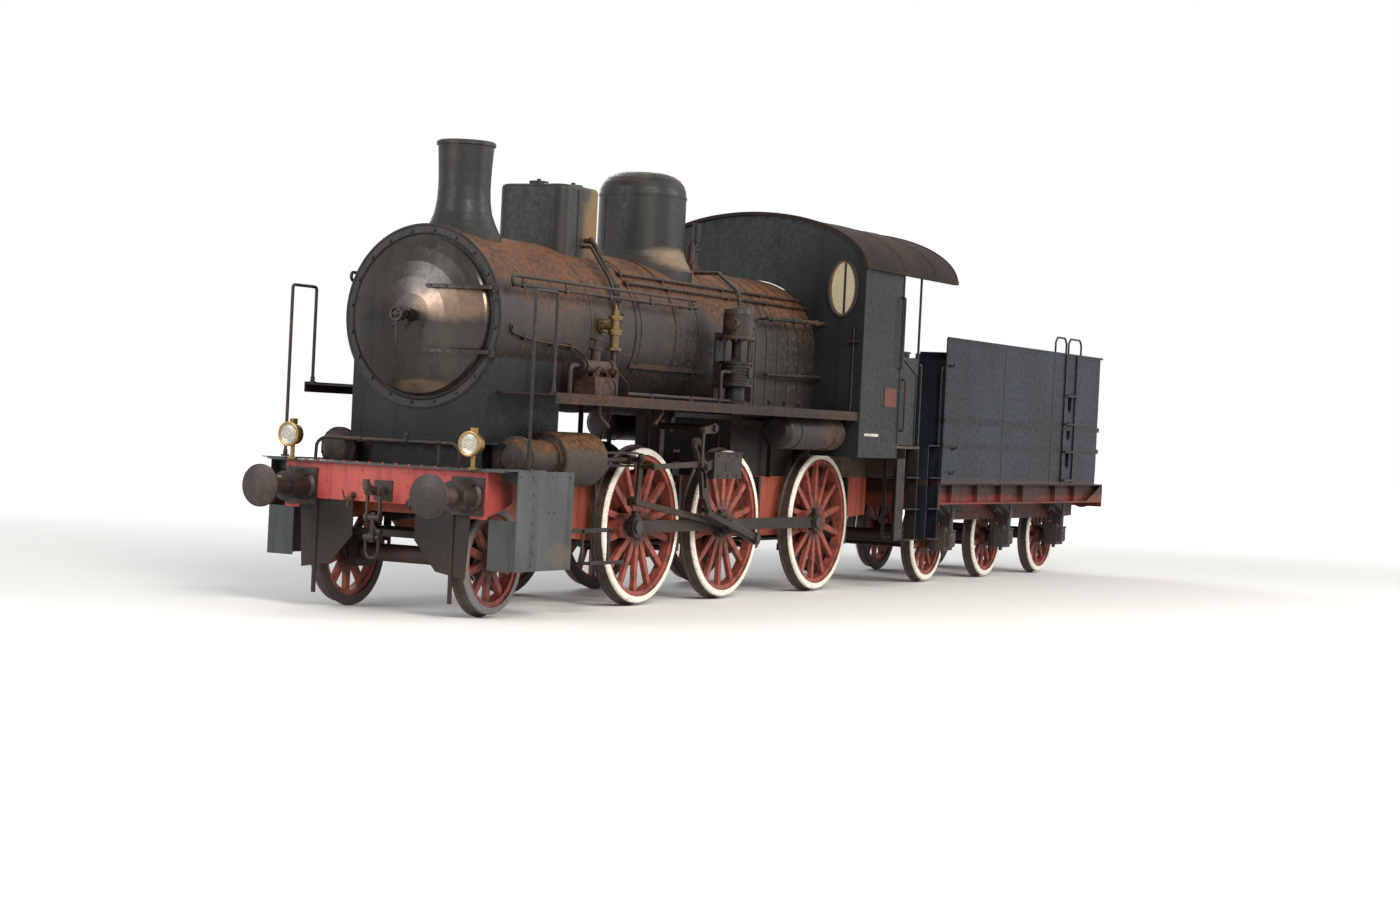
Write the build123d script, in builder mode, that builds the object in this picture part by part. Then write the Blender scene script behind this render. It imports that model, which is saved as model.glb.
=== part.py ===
from build123d import *

import math
import os

# A 2-6-0 steam locomotive with its three-axle tender, in millimetres.
# +X is forward, +Y is the left side, +Z is up; X and Y are zero at the middle.
# Heights in this file count from the rail top, which is FLANGE above the floor,
# because the machine stands on its flange tips here. Forward distances count
# from a datum under the firebox, which is DATUM_X ahead of the part's middle.

FLANGE = 28.0
DATUM_X = 225.0
FRONT_FACE = 8050.0
REAR_FACE = -8500.0
REAR_BEAM = -7850.0
BUFFER_Z = 1050.0
BUFFER_Y = 875.0
BEAM_X = 7400.0

WHEEL_BACK = 680.0
WHEEL_FACE = 820.0
DRIVER_R = 755.0
LEADER_R = 476.0
TENDER_R = 507.0
DRIVERS = (4190.0, 2400.0, 140.0)
LEADER_X = 6850.0
TENDER_AXLES = (-3040.0, -5015.0, -7020.0)
CRANK = 350.0
AXLE_R = 92.0

BOILER_Z = 2605.0
BARREL_R = 785.0
SMOKEBOX_R = 795.0
RING_R = 826.0
SMOKEBOX_REAR = 5310.0
SMOKEBOX_FRONT = 6930.0
FIREBOX_FRONT = 1910.0
CAB_FRONT = 400.0
CAB_Y = 1360.0
ROOF_HALF = 1388.0
ROOF_RISE = 600.0
ROOF_EAVE = 3548.0
ROOF_REAR = -2200.0
BOARD_Z = 1967.0
BOARD_Y = 1350.0
FRAME_Y = 600.0
TANK_FRONT = -1900.0
TANK_REAR = -7500.0
TANK_Y = 1420.0
TANK_LOW = 1210.0
TANK_TOP = 2915.0
DRAWPIN_X = -1700.0

# Valve motion: the link turns on its trunnion, the lever hangs from the valve spindle.
TRUNNION = (3693.0, 1345.0)
LINK_ARC = 1000.0
LINK_HALF = 260.0
LINK_FOOT = 463.0
ECC_ROD = 1291.5
LEVER_ROD = 2035.4
LEVER_LONG = 417.0
VALVE_Z = 1390.0


def meet(p, r_p, q, r_q):
    """The lower crossing of two circles, where two bars of known length are pinned together."""
    dx, dz = q[0] - p[0], q[1] - p[1]
    apart = math.hypot(dx, dz)
    along = (apart**2 + r_p**2 - r_q**2) / (2 * apart)
    off = math.sqrt(r_p**2 - along**2)
    return (p[0] + (along * dx + off * dz) / apart, p[1] + (along * dz - off * dx) / apart)


# The cranks are a quarter turn apart: the left one points forward, the right one up.
# side, sign of Y, crank direction (x, z), return crank pin from the axle, top of the lever
SIDES = []
for name, sign, crank, ecc, lever_top in (
    ("left", 1, (1.0, 0.0), (-145.0, -140.0), (4730.0, 1420.0)),
    ("right", -1, (0.0, 1.0), (140.0, -145.0), (4640.0, 1420.0)),
):
    crank_pin = (DRIVERS[1] + crank[0] * CRANK, DRIVER_R + crank[1] * CRANK)
    ecc_pin = (DRIVERS[1] + ecc[0], DRIVER_R + ecc[1])
    link_foot = meet(ecc_pin, ECC_ROD, TRUNNION, LINK_FOOT)
    lever_foot = meet(crank_pin, LEVER_ROD, lever_top, LEVER_LONG)
    SIDES.append((name, sign, crank, ecc, lever_top, link_foot, lever_foot))

BASE = Plane(origin=(DATUM_X, 0, FLANGE))


def side(y):
    """Upright plane along the machine: sketch x runs forward, sketch y runs up."""
    return Plane(origin=(DATUM_X, y, FLANGE), x_dir=(1, 0, 0), z_dir=(0, -1, 0))


def cross(x):
    """Upright plane across the machine: sketch x runs left, sketch y runs up."""
    return Plane(origin=(x + DATUM_X, 0, FLANGE), x_dir=(0, 1, 0), z_dir=(1, 0, 0))


def level(z):
    """Flat plane at a height above the rail top."""
    return Plane(origin=(DATUM_X, 0, FLANGE + z))


def block(x0, x1, y0, y1, z0, z1, mode=Mode.ADD):
    """Plain block between two corners."""
    with Locations(((x0 + x1) / 2, (y0 + y1) / 2, (z0 + z1) / 2)):
        Box(abs(x1 - x0), abs(y1 - y0), abs(z1 - z0), mode=mode)


def rod_x(x0, x1, y, z, r, mode=Mode.ADD):
    """Round bar running forward."""
    with Locations(((x0 + x1) / 2, y, z)):
        Cylinder(r, abs(x1 - x0), rotation=(0, 90, 0), mode=mode)


def rod_y(y0, y1, x, z, r, mode=Mode.ADD):
    """Round bar running across."""
    with Locations((x, (y0 + y1) / 2, z)):
        Cylinder(r, abs(y1 - y0), rotation=(90, 0, 0), mode=mode)


def rod_z(z0, z1, x, y, r, mode=Mode.ADD):
    """Round upright bar."""
    with Locations((x, y, (z0 + z1) / 2)):
        Cylinder(r, abs(z1 - z0), mode=mode)


def plate(y_high, thick, points, mode=Mode.ADD):
    """Upright plate along the machine from its outline; y_high is its left face."""
    with BuildSketch(side(y_high)) as outline:
        with BuildLine():
            Polyline(*points, close=True)
        make_face()
    extrude(outline.sketch, amount=thick, mode=mode)


def bulkhead(x_low, thick, points, mode=Mode.ADD):
    """Upright plate across the machine from its outline; x_low is its rear face."""
    with BuildSketch(cross(x_low)) as outline:
        with BuildLine():
            Polyline(*points, close=True)
        make_face()
    extrude(outline.sketch, amount=thick, mode=mode)


def turned(y, z, points, mode=Mode.ADD):
    """Body turned about a forward axis from (x, radius) points."""
    with BuildSketch(side(y)) as profile:
        with BuildLine():
            Polyline(*[(x, z + r) for x, r in points], close=True)
        make_face()
    revolve(profile.sketch, axis=Axis((0, y, FLANGE + z), (1, 0, 0)), mode=mode)


def turned_up(x, y, points, mode=Mode.ADD):
    """Body turned about an upright axis from (radius, height) points."""
    with BuildSketch(side(y)) as profile:
        with BuildLine():
            Polyline(*[(x + r, z) for r, z in points], close=True)
        make_face()
    revolve(profile.sketch, axis=Axis((x + DATUM_X, y, 0), (0, 0, 1)), mode=mode)


def pipe(points, r, mode=Mode.ADD):
    """Pipe with rounded corners through a list of points."""
    lifted = [(x + DATUM_X, y, z + FLANGE) for x, y, z in points]
    with BuildLine() as run:
        if len(lifted) == 2:
            Line(*lifted)
        else:
            FilletPolyline(*lifted, radius=r * 2.2)
    with BuildSketch(Plane(origin=run.line @ 0, z_dir=run.line % 0)) as section:
        Circle(r)
    sweep(section.sketch, path=run.line, mode=mode)


def bar(sign, start, end, y0, y1, r0, r1, w0, w1, mode=Mode.ADD):
    """Flat tapered bar with a round eye at each end, between two distances from the middle."""
    (x0, z0), (x1, z1) = start, end
    long = math.hypot(x1 - x0, z1 - z0)
    turn = math.degrees(math.atan2(z1 - z0, x1 - x0))
    with BuildSketch(side(max(sign * y0, sign * y1))) as flat:
        with Locations(start):
            Circle(r0)
        with Locations(end):
            Circle(r1)
        with Locations(Pos(x0, z0) * Rot(0, 0, turn)):
            Polygon((0, -w0 / 2), (long, -w1 / 2), (long, w1 / 2), (0, w0 / 2), align=None)
    extrude(flat.sketch, amount=abs(y1 - y0), mode=mode)


def hand_in(piece, name):
    """Label a finished piece and write its file."""
    piece.part.label = name
    export_step(piece.part, f"parts/{name}.step")


os.makedirs("parts", exist_ok=True)


# Frame plates inside the wheels, with a horn gap at each driving axle.
with BuildPart(BASE) as main_frame:
    for sign in (1, -1):
        left = sign * FRAME_Y + 15
        outline = [(7370, 1240), (7370, 790), (6420, 790), (6250, 640), (5300, 640), (4700, 600)]
        for axle in DRIVERS:
            outline += [
                (axle + 330, 600),
                (axle + 260, 470),
                (axle + 130, 470),
                (axle + 130, 930),
                (axle - 130, 930),
                (axle - 130, 470),
                (axle - 260, 470),
                (axle - 330, 600),
            ]
        outline += [(-700, 760), (-1560, 800), (-1560, 1240)]
        plate(left, 30, outline)
    for x0, x1, low, high in (
        (7180, 7210, 860, 1220),
        (5000, 5030, 700, 1220),
        (3280, 3310, 700, 1220),
        (2120, 2150, 1000, 1220),
        (-420, -390, 700, 1220),
    ):
        block(x0, x1, -590, 590, low, high)
    block(-1560, -1440, -590, 590, 900, 1220)
    for x0, x1 in ((5030, 5600), (3310, 3900)):
        block(x0, x1, -590, 590, 1180, 1200)
hand_in(main_frame, "main_frame")

# Driving axle boxes in the horn gaps, with leaf springs hung under them.
SPRING_REACH = 465.0

with BuildPart(BASE) as axle_boxes:
    for axle in DRIVERS:
        for sign in (1, -1):
            y = sign * FRAME_Y
            block(axle - 129, axle + 129, y - 45, y + 45, 594, 925)
            block(axle - 45, axle + 45, y - 46, y + 46, 345, 600)
            for n in range(5):
                half = 480 - 85 * n
                block(axle - half, axle + half, y - 42, y + 42, 440 - 22 * n, 462 - 22 * n)
            for x in (axle - SPRING_REACH, axle + SPRING_REACH):
                block(x - 18, x + 18, y - 50, y + 50, 425, 500)
                rod_z(490, 599 if x > -190 else 636, x, y, 14)
        rod_y(-700, 700, axle, DRIVER_R, AXLE_R + 1.5, mode=Mode.SUBTRACT)
hand_in(axle_boxes, "axle_boxes")

# Front beam with its deeper end plates, top angle and triangular gussets.
with BuildPart(BASE) as front_beam:
    block(7372, BEAM_X, -1060, 1060, 945, 1268)
    for sign in (1, -1):
        block(7372, BEAM_X, sign * 900, sign * 1060, 858, 1268)
        gusset = [(7375, 1250), (7375, 880), (7150, 930), (6980, 1000), (6980, 1250)]
        plate(1060 if sign > 0 else -1040, 20, gusset)
    block(7300, BEAM_X, -1060, 1060, 1252, 1268)
hand_in(front_beam, "front_beam")

# Front buffers: square base, ribbed barrel, plunger and domed head.
with BuildPart(BASE) as front_buffers:
    for sign in (1, -1):
        y = sign * BUFFER_Y
        block(BEAM_X, 7420, y - 165, y + 165, BUFFER_Z - 165, BUFFER_Z + 165)
        turned(
            y,
            BUFFER_Z,
            [
                (7418, 0), (7418, 150), (7450, 128), (7640, 122), (7640, 132), (7665, 132), (7665, 84),
                (8000, 84), (8000, 188), (8022, 188), (8036, 150), (8046, 80), (FRONT_FACE, 0),
            ],
        )
        for turn in (45, 135, 225, 315):
            with BuildSketch(cross(7419)):
                with Locations(Pos(y, BUFFER_Z) * Rot(0, 0, turn) * Pos(130, 0)):
                    Rectangle(40, 14)
            extrude(amount=110)
hand_in(front_buffers, "front_buffers")

# Draw hook with its screw coupling hanging from it.
with BuildPart(BASE) as front_coupling:
    block(BEAM_X, 7520, -28, 28, 1020, 1080)
    block(BEAM_X, 7414, -95, 95, 960, 1140)
    plate(24, 48, [(7510, 1080), (7600, 1090), (7660, 1130), (7650, 1060), (7600, 1010), (7500, 1010)])
    plate(24, 48, [(7640, 1050), (7690, 1060), (7690, 1150), (7650, 1150)])
    rod_y(-82, 82, 7545, 1045, 22)
    for y in (-66, 66):
        rod_y(y - 14, y + 14, 7546, 1045, 40)
        block(7532, 7560, y - 11, y + 11, 830, 1045)
        rod_y(y - 14, y + 14, 7546, 815, 38)
    rod_y(-84, 84, 7546, 815, 26)
    rod_z(600, 860, 7546, 0, 21)
    rod_y(-84, 84, 7546, 645, 26)
    rod_y(-34, 34, 7546, 645, 40)
    shackle = [(66, 645), (66, 520), (40, 468), (-40, 468), (-66, 520), (-66, 645)]
    pipe([(7546, y, z) for y, z in shackle], 14)
    pipe([(7546, 0, 735), (7600, 60, 735), (7640, 130, 700)], 11)
    rod_y(118, 160, 7640, 700, 24)
hand_in(front_coupling, "front_coupling")

# Front deck, and the grey apron plates hanging at each side of it.
with BuildPart(BASE) as front_platform:
    block(6940, 7440, -1250, 1250, 1268, 1282)
    for sign in (1, -1):
        outer = 1308 if sign > 0 else -1300
        block(6835, 7440, sign * 1060, sign * 1306, 1283, 1295)
        plate(outer, 8, [(6360, 1284), (7300, 1284), (7300, 420), (6360, 420)])
        block(7292, 7300, sign * 1030, sign * 1303, 420, 856)
        block(6352, 6360, sign * 1250, sign * 1303, 420, 1284)
        for x, inner in ((6480, 1200), (7180, 1085)):
            block(x, x + 10, sign * inner, sign * 1301, 1180, 1284)
hand_in(front_platform, "front_platform")

# Guard plates under the beam and the irons that reach down to the rails.
with BuildPart(BASE) as rail_guards:
    for sign in (1, -1):
        guard = ((330, 944), (900, 944), (860, 330), (560, 380), (330, 640))
        bulkhead(7372, 14, [(sign * y, z) for y, z in guard])
        plate(
            735 if sign > 0 else -705,
            30,
            [(7387, 940), (7400, 940), (7400, 400), (7396, 110), (7367, 110), (7374, 320), (7387, 400)],
        )
hand_in(rail_guards, "rail_guards")

# Smokebox: a drum open at the front, with a heavier ring there.
MOUTH_R = 640.0

with BuildPart(BASE) as smokebox:
    rod_x(SMOKEBOX_REAR, 6900, 0, BOILER_Z, SMOKEBOX_R)
    rod_x(6870, SMOKEBOX_FRONT, 0, BOILER_Z, RING_R)
    rod_x(SMOKEBOX_REAR + 30, 6895, 0, BOILER_Z, 740, mode=Mode.SUBTRACT)
    rod_x(6890, SMOKEBOX_FRONT + 5, 0, BOILER_Z, MOUTH_R, mode=Mode.SUBTRACT)
    rod_z(3300, 3500, 6350, 0, 170, mode=Mode.SUBTRACT)
hand_in(smokebox, "smokebox")

# Dished smokebox door with hub, centre handle and two hinge straps.
with BuildPart(BASE) as smokebox_door:
    turned(
        0,
        BOILER_Z,
        [
            (6936, 0), (6936, 705), (6968, 705), (6985, 690), (7020, 600), (7060, 480), (7095, 340),
            (7120, 190), (7128, 0),
        ],
    )
    rod_x(7120, 7200, 0, BOILER_Z, 62)
    rod_x(7190, 7350, 0, BOILER_Z, 21)
    rod_x(7216, 7246, 0, BOILER_Z, 42)
    rod_x(7322, 7350, 0, BOILER_Z, 66)
    rod_x(7315, 7355, 0, BOILER_Z, 46, mode=Mode.SUBTRACT)
    rod_x(7190, 7350, 0, BOILER_Z, 21)
    block(7326, 7346, -58, 58, BOILER_Z - 9, BOILER_Z + 9)
    pipe([(7231, -20, BOILER_Z - 20), (7231, -120, BOILER_Z - 120)], 12)
    pipe([(7336, 0, BOILER_Z - 50), (7336, 15, BOILER_Z - 260)], 11)
    for z in (2870, 2300):
        with BuildSketch(level(z - 17)):
            with BuildLine():
                Polyline(
                    (6975, 715), (6985, 600), (7025, 450), (7058, 300), (7080, 150), (7128, 150),
                    (7118, 270), (7092, 430), (7056, 580), (7008, 740), (6980, 752), close=True,
                )
            make_face()
        extrude(amount=34)
        rod_z(z - 40, z + 40, 6965, 762, 24)
        block(6958, 7008, 712, 762, z - 17, z + 17)
    rod_z(2200, 2970, 6965, 762, 12, mode=Mode.SUBTRACT)
hand_in(smokebox_door, "smokebox_door")

# Saddle that carries the smokebox, with the wide flange along its foot.
with BuildPart(BASE) as smokebox_saddle:
    block(5700, 6925, -720, 720, 1510, 2300)
    block(5650, 6935, -850, 850, 1495, 1512)
    rod_x(5000, 7000, 0, BOILER_Z, SMOKEBOX_R + 0.5, mode=Mode.SUBTRACT)
    rod_x(6868, 7000, 0, BOILER_Z, RING_R + 0.5, mode=Mode.SUBTRACT)
    for y in (-950, 950):
        rod_x(5600, 6828, y, 1390, 250, mode=Mode.SUBTRACT)
hand_in(smokebox_saddle, "smokebox_saddle")

# Chimney, flared onto the smokebox, hollow right through.
with BuildPart(BASE) as chimney:
    turned_up(
        6350,
        0,
        [
            (0, 3250), (360, 3250), (360, 3365), (322, 3430), (290, 3500), (262, 3575), (244, 3680),
            (238, 3800), (240, 3920), (250, 4110), (255, 4180), (271, 4183), (271, 4208), (260, 4222),
            (0, 4222),
        ],
    )
    rod_z(3200, 4300, 6350, 0, 168, mode=Mode.SUBTRACT)
    rod_x(5800, 6900, 0, BOILER_Z, SMOKEBOX_R + 0.5, mode=Mode.SUBTRACT)
hand_in(chimney, "chimney")

# Boiler barrel under its cladding, with the bands over the cladding joints.
with BuildPart(BASE) as boiler_barrel:
    rod_x(FIREBOX_FRONT, SMOKEBOX_REAR, 0, BOILER_Z, BARREL_R)
    for x in (1940, 3118, 4306, 5270):
        rod_x(x - 24, x + 24, 0, BOILER_Z, BARREL_R + 6)
hand_in(boiler_barrel, "boiler_barrel")

# Firebox cladding: round top on upright sides, with its straps.
with BuildPart(BASE) as firebox:
    with BuildSketch(cross(CAB_FRONT)):
        with Locations((0, BOILER_Z)):
            Circle(BARREL_R)
        with Locations((0, (BOILER_Z + 1990) / 2)):
            Rectangle(2 * BARREL_R, BOILER_Z - 1990)
        with Locations((0, 1620)):
            Rectangle(1150, 900)
    extrude(amount=FIREBOX_FRONT - CAB_FRONT)
    for x in (520, 780, 1040, 1300, 1560, 1820):
        with BuildSketch(cross(x)):
            with Locations((0, BOILER_Z)):
                Circle(BARREL_R + 6)
            with Locations((0, (BOILER_Z + 1995) / 2)):
                Rectangle(2 * BARREL_R + 12, BOILER_Z - 1995)
            with Locations((0, BOILER_Z)):
                Circle(BARREL_R - 10, mode=Mode.SUBTRACT)
            with Locations((0, (BOILER_Z + 1900) / 2)):
                Rectangle(2 * BARREL_R - 20, BOILER_Z - 1900, mode=Mode.SUBTRACT)
        extrude(amount=34)
    for sign in (1, -1):
        for x in (740, 1100, 1460):
            rod_y(sign * 780, sign * 798, x, 2040, 34)
            rod_y(sign * 798, sign * 812, x, 2040, 18)
hand_in(firebox, "firebox")

# Ashpan between the frames under the firebox.
with BuildPart(BASE) as ashpan:
    plate(560, 1120, [(560, 1165), (1880, 1165), (1880, 900), (1650, 640), (800, 640), (560, 780)])
hand_in(ashpan, "ashpan")

# Sandbox on the boiler top: rounded corners, a joint strap round it and two filler lids.
SANDBOX_X = 4850.0
SANDBOX_TOP = 3972.0

with BuildPart(BASE) as sandbox:
    with BuildSketch(level(3250)):
        with Locations((SANDBOX_X, 0)):
            RectangleRounded(700, 760, 120)
    extrude(amount=SANDBOX_TOP - 3250)
    fillet(sandbox.faces().sort_by(Axis.Z)[-1].edges(), 45)
    block(SANDBOX_X + 72, SANDBOX_X + 104, -386, 386, 3300, SANDBOX_TOP - 40)
    block(SANDBOX_X + 72, SANDBOX_X + 104, -340, 340, 3900, SANDBOX_TOP + 6)
    for x, y in ((SANDBOX_X - 140, -170), (SANDBOX_X - 140, 170), (SANDBOX_X + 215, 0)):
        rod_z(SANDBOX_TOP - 10, SANDBOX_TOP + 28, x, y, 92)
        rod_z(SANDBOX_TOP + 28, SANDBOX_TOP + 52, x, y, 20)
        block(x - 120, x - 70, y - 22, y + 22, SANDBOX_TOP - 4, SANDBOX_TOP + 24)
    rod_x(4000, 5700, 0, BOILER_Z, BARREL_R + 0.5, mode=Mode.SUBTRACT)
    rod_x(5240, 5300, 0, BOILER_Z, BARREL_R + 7, mode=Mode.SUBTRACT)
hand_in(sandbox, "sandbox")

# Steam dome with rounded shoulder, joint band, flared foot and an upright seam strap.
DOME_X = 3020.0
DOME_R = 446.0

with BuildPart(BASE) as steam_dome:
    turned_up(
        DOME_X,
        0,
        [
            (0, 3150), (540, 3150), (540, 3300), (500, 3375), (468, 3430), (448, 3490), (DOME_R, 4042),
            (452, 4044), (452, 4066), (DOME_R, 4068), (438, 4130), (416, 4185), (378, 4232), (322, 4268),
            (245, 4292), (150, 4300), (0, 4302),
        ],
    )
    for turn in (150, 330):
        with Locations(Pos(DOME_X, 0, 3760) * Rot(0, 0, turn) * Pos(DOME_R, 0, 0)):
            Box(14, 44, 540)
    rod_x(2000, 4200, 0, BOILER_Z, BARREL_R + 0.5, mode=Mode.SUBTRACT)
    rod_x(3090, 3146, 0, BOILER_Z, BARREL_R + 7, mode=Mode.SUBTRACT)
hand_in(steam_dome, "steam_dome")

# Safety valves and whistle behind the dome.
with BuildPart(BASE) as safety_valves:
    for x, y, top, r in ((2120, 110, 3640, 48), (2120, -110, 3640, 48)):
        rod_z(3300, top, x, y, r)
        rod_z(top, top + 30, x, y, r * 0.6)
        rod_z(3440, 3475, x, y, r + 22)
    block(2040, 2200, -175, 175, 3300, 3440)
    rod_z(3300, 3780, 1805, 0, 24)
    rod_z(3420, 3450, 1805, 0, 60)
    rod_z(3600, 3628, 1805, 0, 46)
    rod_z(3700, 3900, 1805, 0, 44)
    rod_x(1000, 2600, 0, BOILER_Z, BARREL_R + 0.5, mode=Mode.SUBTRACT)
    for x in (520, 780, 1040, 1300, 1560, 1820):
        rod_x(x - 1, x + 35, 0, BOILER_Z, BARREL_R + 7, mode=Mode.SUBTRACT)
hand_in(safety_valves, "safety_valves")

# Cab front wall, cut out around the firebox and for two oval windows.
with BuildPart(BASE) as cab_front:
    with BuildSketch(cross(CAB_FRONT - 12)):
        with Locations((0, ROOF_EAVE)):
            Ellipse(ROOF_HALF - 43, ROOF_RISE - 29)
        with Locations((0, ROOF_EAVE)):
            Rectangle(3200, 1400, align=(Align.CENTER, Align.MIN), mode=Mode.INTERSECT)
        with Locations((0, (ROOF_EAVE + 1485) / 2)):
            Rectangle(2 * CAB_Y - 26, ROOF_EAVE - 1485)
        with Locations((0, BOILER_Z)):
            Circle(BARREL_R + 8, mode=Mode.SUBTRACT)
        with Locations((0, (BOILER_Z + 1400) / 2)):
            Rectangle(2 * BARREL_R + 16, BOILER_Z - 1400, mode=Mode.SUBTRACT)
        for y in (-1100, 1100):
            with Locations((y, 3330)):
                Ellipse(160, 300, mode=Mode.SUBTRACT)
    extrude(amount=12)
    for y in (-1100, 1100):
        with BuildSketch(cross(CAB_FRONT - 14)):
            with Locations((y, 3330)):
                Ellipse(178, 318)
                Ellipse(160, 300, mode=Mode.SUBTRACT)
        extrude(amount=34)
hand_in(cab_front, "cab_front")

with BuildPart(BASE) as cab_windows:
    for y in (-1100, 1100):
        with BuildSketch(cross(CAB_FRONT - 8)):
            with Locations((y, 3330)):
                Ellipse(159.5, 299.5)
        extrude(amount=6)
hand_in(cab_windows, "cab_windows")

# Cab side sheets, lower behind the entrance notch, with door posts, sills and beading.
ENTRANCE_X = -700.0
LOW_REAR = -1180.0
SILL_Z = 2620.0

with BuildPart(BASE) as cab_sides:
    for sign in (1, -1):
        plate(
            CAB_Y if sign > 0 else -CAB_Y + 13,
            13,
            [
                (CAB_FRONT, 1485), (CAB_FRONT, 3547), (ENTRANCE_X, 3547), (ENTRANCE_X, SILL_Z),
                (LOW_REAR, SILL_Z), (LOW_REAR, 1640), (ENTRANCE_X, 1640), (ENTRANCE_X, 1485),
            ],
        )
        for x, high in ((ENTRANCE_X, 3540), (LOW_REAR, SILL_Z)):
            block(x, x + 40, sign * (CAB_Y - 60), sign * CAB_Y, 1650, high)
            block(x + 6, x + 34, sign * CAB_Y, sign * (CAB_Y + 7), 1650, high)
        block(LOW_REAR, ENTRANCE_X, sign * (CAB_Y - 45), sign * (CAB_Y + 12), SILL_Z - 20, SILL_Z + 12)
        flap = [(ENTRANCE_X - 60, SILL_Z - 18), (LOW_REAR + 4, SILL_Z - 18), (LOW_REAR + 4, SILL_Z - 190)]
        plate(CAB_Y + 10 if sign > 0 else -CAB_Y - 4, 6, flap)
        rod_z(SILL_Z, 3547.5, LOW_REAR + 20, sign * (CAB_Y + 6), 14)
        block(CAB_FRONT - 34, CAB_FRONT - 8, sign * CAB_Y, sign * (CAB_Y + 7), 1490, 3540)
        block(ENTRANCE_X + 20, CAB_FRONT - 10, sign * CAB_Y, sign * (CAB_Y + 6), 1488, 1514)
hand_in(cab_sides, "cab_sides")

# Cab roof: a flat arch that turns down at the sides, with edge bands, ribs and gutters.
def arch(x, thick, outside, inside):
    """Half of a hollow ellipse over the cab, drawn across it and run forward from x."""
    with BuildSketch(cross(x)) as hoop:
        with Locations((0, ROOF_EAVE)):
            Ellipse(ROOF_HALF + outside, ROOF_RISE + outside)
            Ellipse(ROOF_HALF - inside - 14, ROOF_RISE - inside, mode=Mode.SUBTRACT)
        with Locations((0, ROOF_EAVE)):
            Rectangle(3200, 1400, align=(Align.CENTER, Align.MIN), mode=Mode.INTERSECT)
    extrude(hoop.sketch, amount=thick)


with BuildPart(BASE) as cab_roof:
    arch(ROOF_REAR, CAB_FRONT + 40 - ROOF_REAR, 0, 28)
    for x in (ROOF_REAR, CAB_FRONT + 24):
        arch(x, 20, 10, 10)
    for x in (-1560, -640):
        arch(x, 30, 5, 10)
    for sign in (1, -1):
        block(ROOF_REAR, CAB_FRONT + 44, sign * (ROOF_HALF - 6), sign * (ROOF_HALF + 14), ROOF_EAVE, 3592)
hand_in(cab_roof, "cab_roof")

# Cab floor, with the boxed seats at each side.
with BuildPart(BASE) as cab_floor:
    block(-1500, -90, -1100, 1100, 1600, 1630)
    block(-1385, -90, -1345, 1345, 1600, 1630)
    for sign in (1, -1):
        block(-90, CAB_FRONT - 14, sign * 800, sign * 1345, 1600, 1630)
        block(-80, CAB_FRONT - 14, sign * 900, sign * 1330, 1630, 2080)
        block(-1560, -90, sign * 560, sign * 630, 1242, 1600)
    block(-1560, -1500, -1100, 1100, 1240, 1630)
hand_in(cab_floor, "cab_floor")

# Backhead inside the cab, with the fire hole and its door frame.
with BuildPart(BASE) as backhead:
    with BuildSketch(cross(-60)):
        with Locations((0, BOILER_Z - 10)):
            Circle(745)
        with Locations((0, 2200)):
            Rectangle(1490, 800)
    extrude(amount=CAB_FRONT)
    with BuildSketch(cross(-80)):
        with Locations((0, 2180)):
            Ellipse(300, 230)
            Ellipse(230, 165, mode=Mode.SUBTRACT)
    extrude(amount=20)
    with BuildSketch(cross(-80)):
        with Locations((0, 2180)):
            Ellipse(230, 165)
    extrude(amount=300, mode=Mode.SUBTRACT)
hand_in(backhead, "backhead")

# Regulator, gauges, water glasses, brake valve and reversing wheel.
with BuildPart(BASE) as cab_controls:
    rod_x(-150, -60, 0, 2950, 45)
    pipe([(-130, 0, 2950), (-130, 260, 2840)], 16)
    for y, z in ((-330, 3180), (330, 3180)):
        rod_x(-110, -60, y, z, 85)
    for y in (-480, 480):
        rod_z(2560, 2900, -100, y, 22)
        rod_x(-100, -60, y, 2600, 16)
        rod_x(-100, -60, y, 2860, 16)
    rod_x(-120, CAB_FRONT - 14, 1000, 2560, 26)
    rod_x(-150, -120, 1000, 2560, 190)
    rod_x(-155, -115, 1000, 2560, 158, mode=Mode.SUBTRACT)
    rod_x(-150, -120, 1000, 2560, 30)
    block(-148, -122, 830, 1170, 2548, 2572)
    block(-148, -122, 988, 1012, 2390, 2730)
    block(200, 386, 940, 1060, 2080, 2620)
    rod_z(2080, 2700, 250, -1050, 30)
    block(180, 320, -1120, -980, 2650, 2800)
hand_in(cab_controls, "cab_controls")

# Running boards beside the boiler, with valance and brackets.
with BuildPart(BASE) as running_boards:
    for sign in (1, -1):
        block(FIREBOX_FRONT + 5, 5640, sign * 480, sign * BOARD_Y, 1955, BOARD_Z)
        block(5640, 6800, sign * 730, sign * BOARD_Y, 1955, BOARD_Z)
        block(CAB_FRONT + 2, FIREBOX_FRONT + 6, sign * 800, sign * BOARD_Y, 1955, BOARD_Z)
        block(CAB_FRONT + 2, 6800, sign * (BOARD_Y - 10), sign * BOARD_Y, 1885, 1980)
        for x in (1100, 2350, 3850, 5150):
            block(x, x + 12, sign * 616, sign * (BOARD_Y - 8), 1928, 1956)
            block(x, x + 12, sign * 616, sign * 665, 1230, 1956)
    rod_x(FIREBOX_FRONT + 1, 5320, 0, BOILER_Z, BARREL_R + 9, mode=Mode.SUBTRACT)
    for x0, x1, sign in ((5600, 6800, 1), (5600, 6800, -1)):
        block(x0, x1, sign * 400, sign * 729, 1900, 2000, mode=Mode.SUBTRACT)
hand_in(running_boards, "running_boards")

# Handrails: a double rail along the boiler with stanchions, uprights at the front, cab rails.
RAIL_Z = 2915.0
RAIL_Y = 860.0

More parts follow.
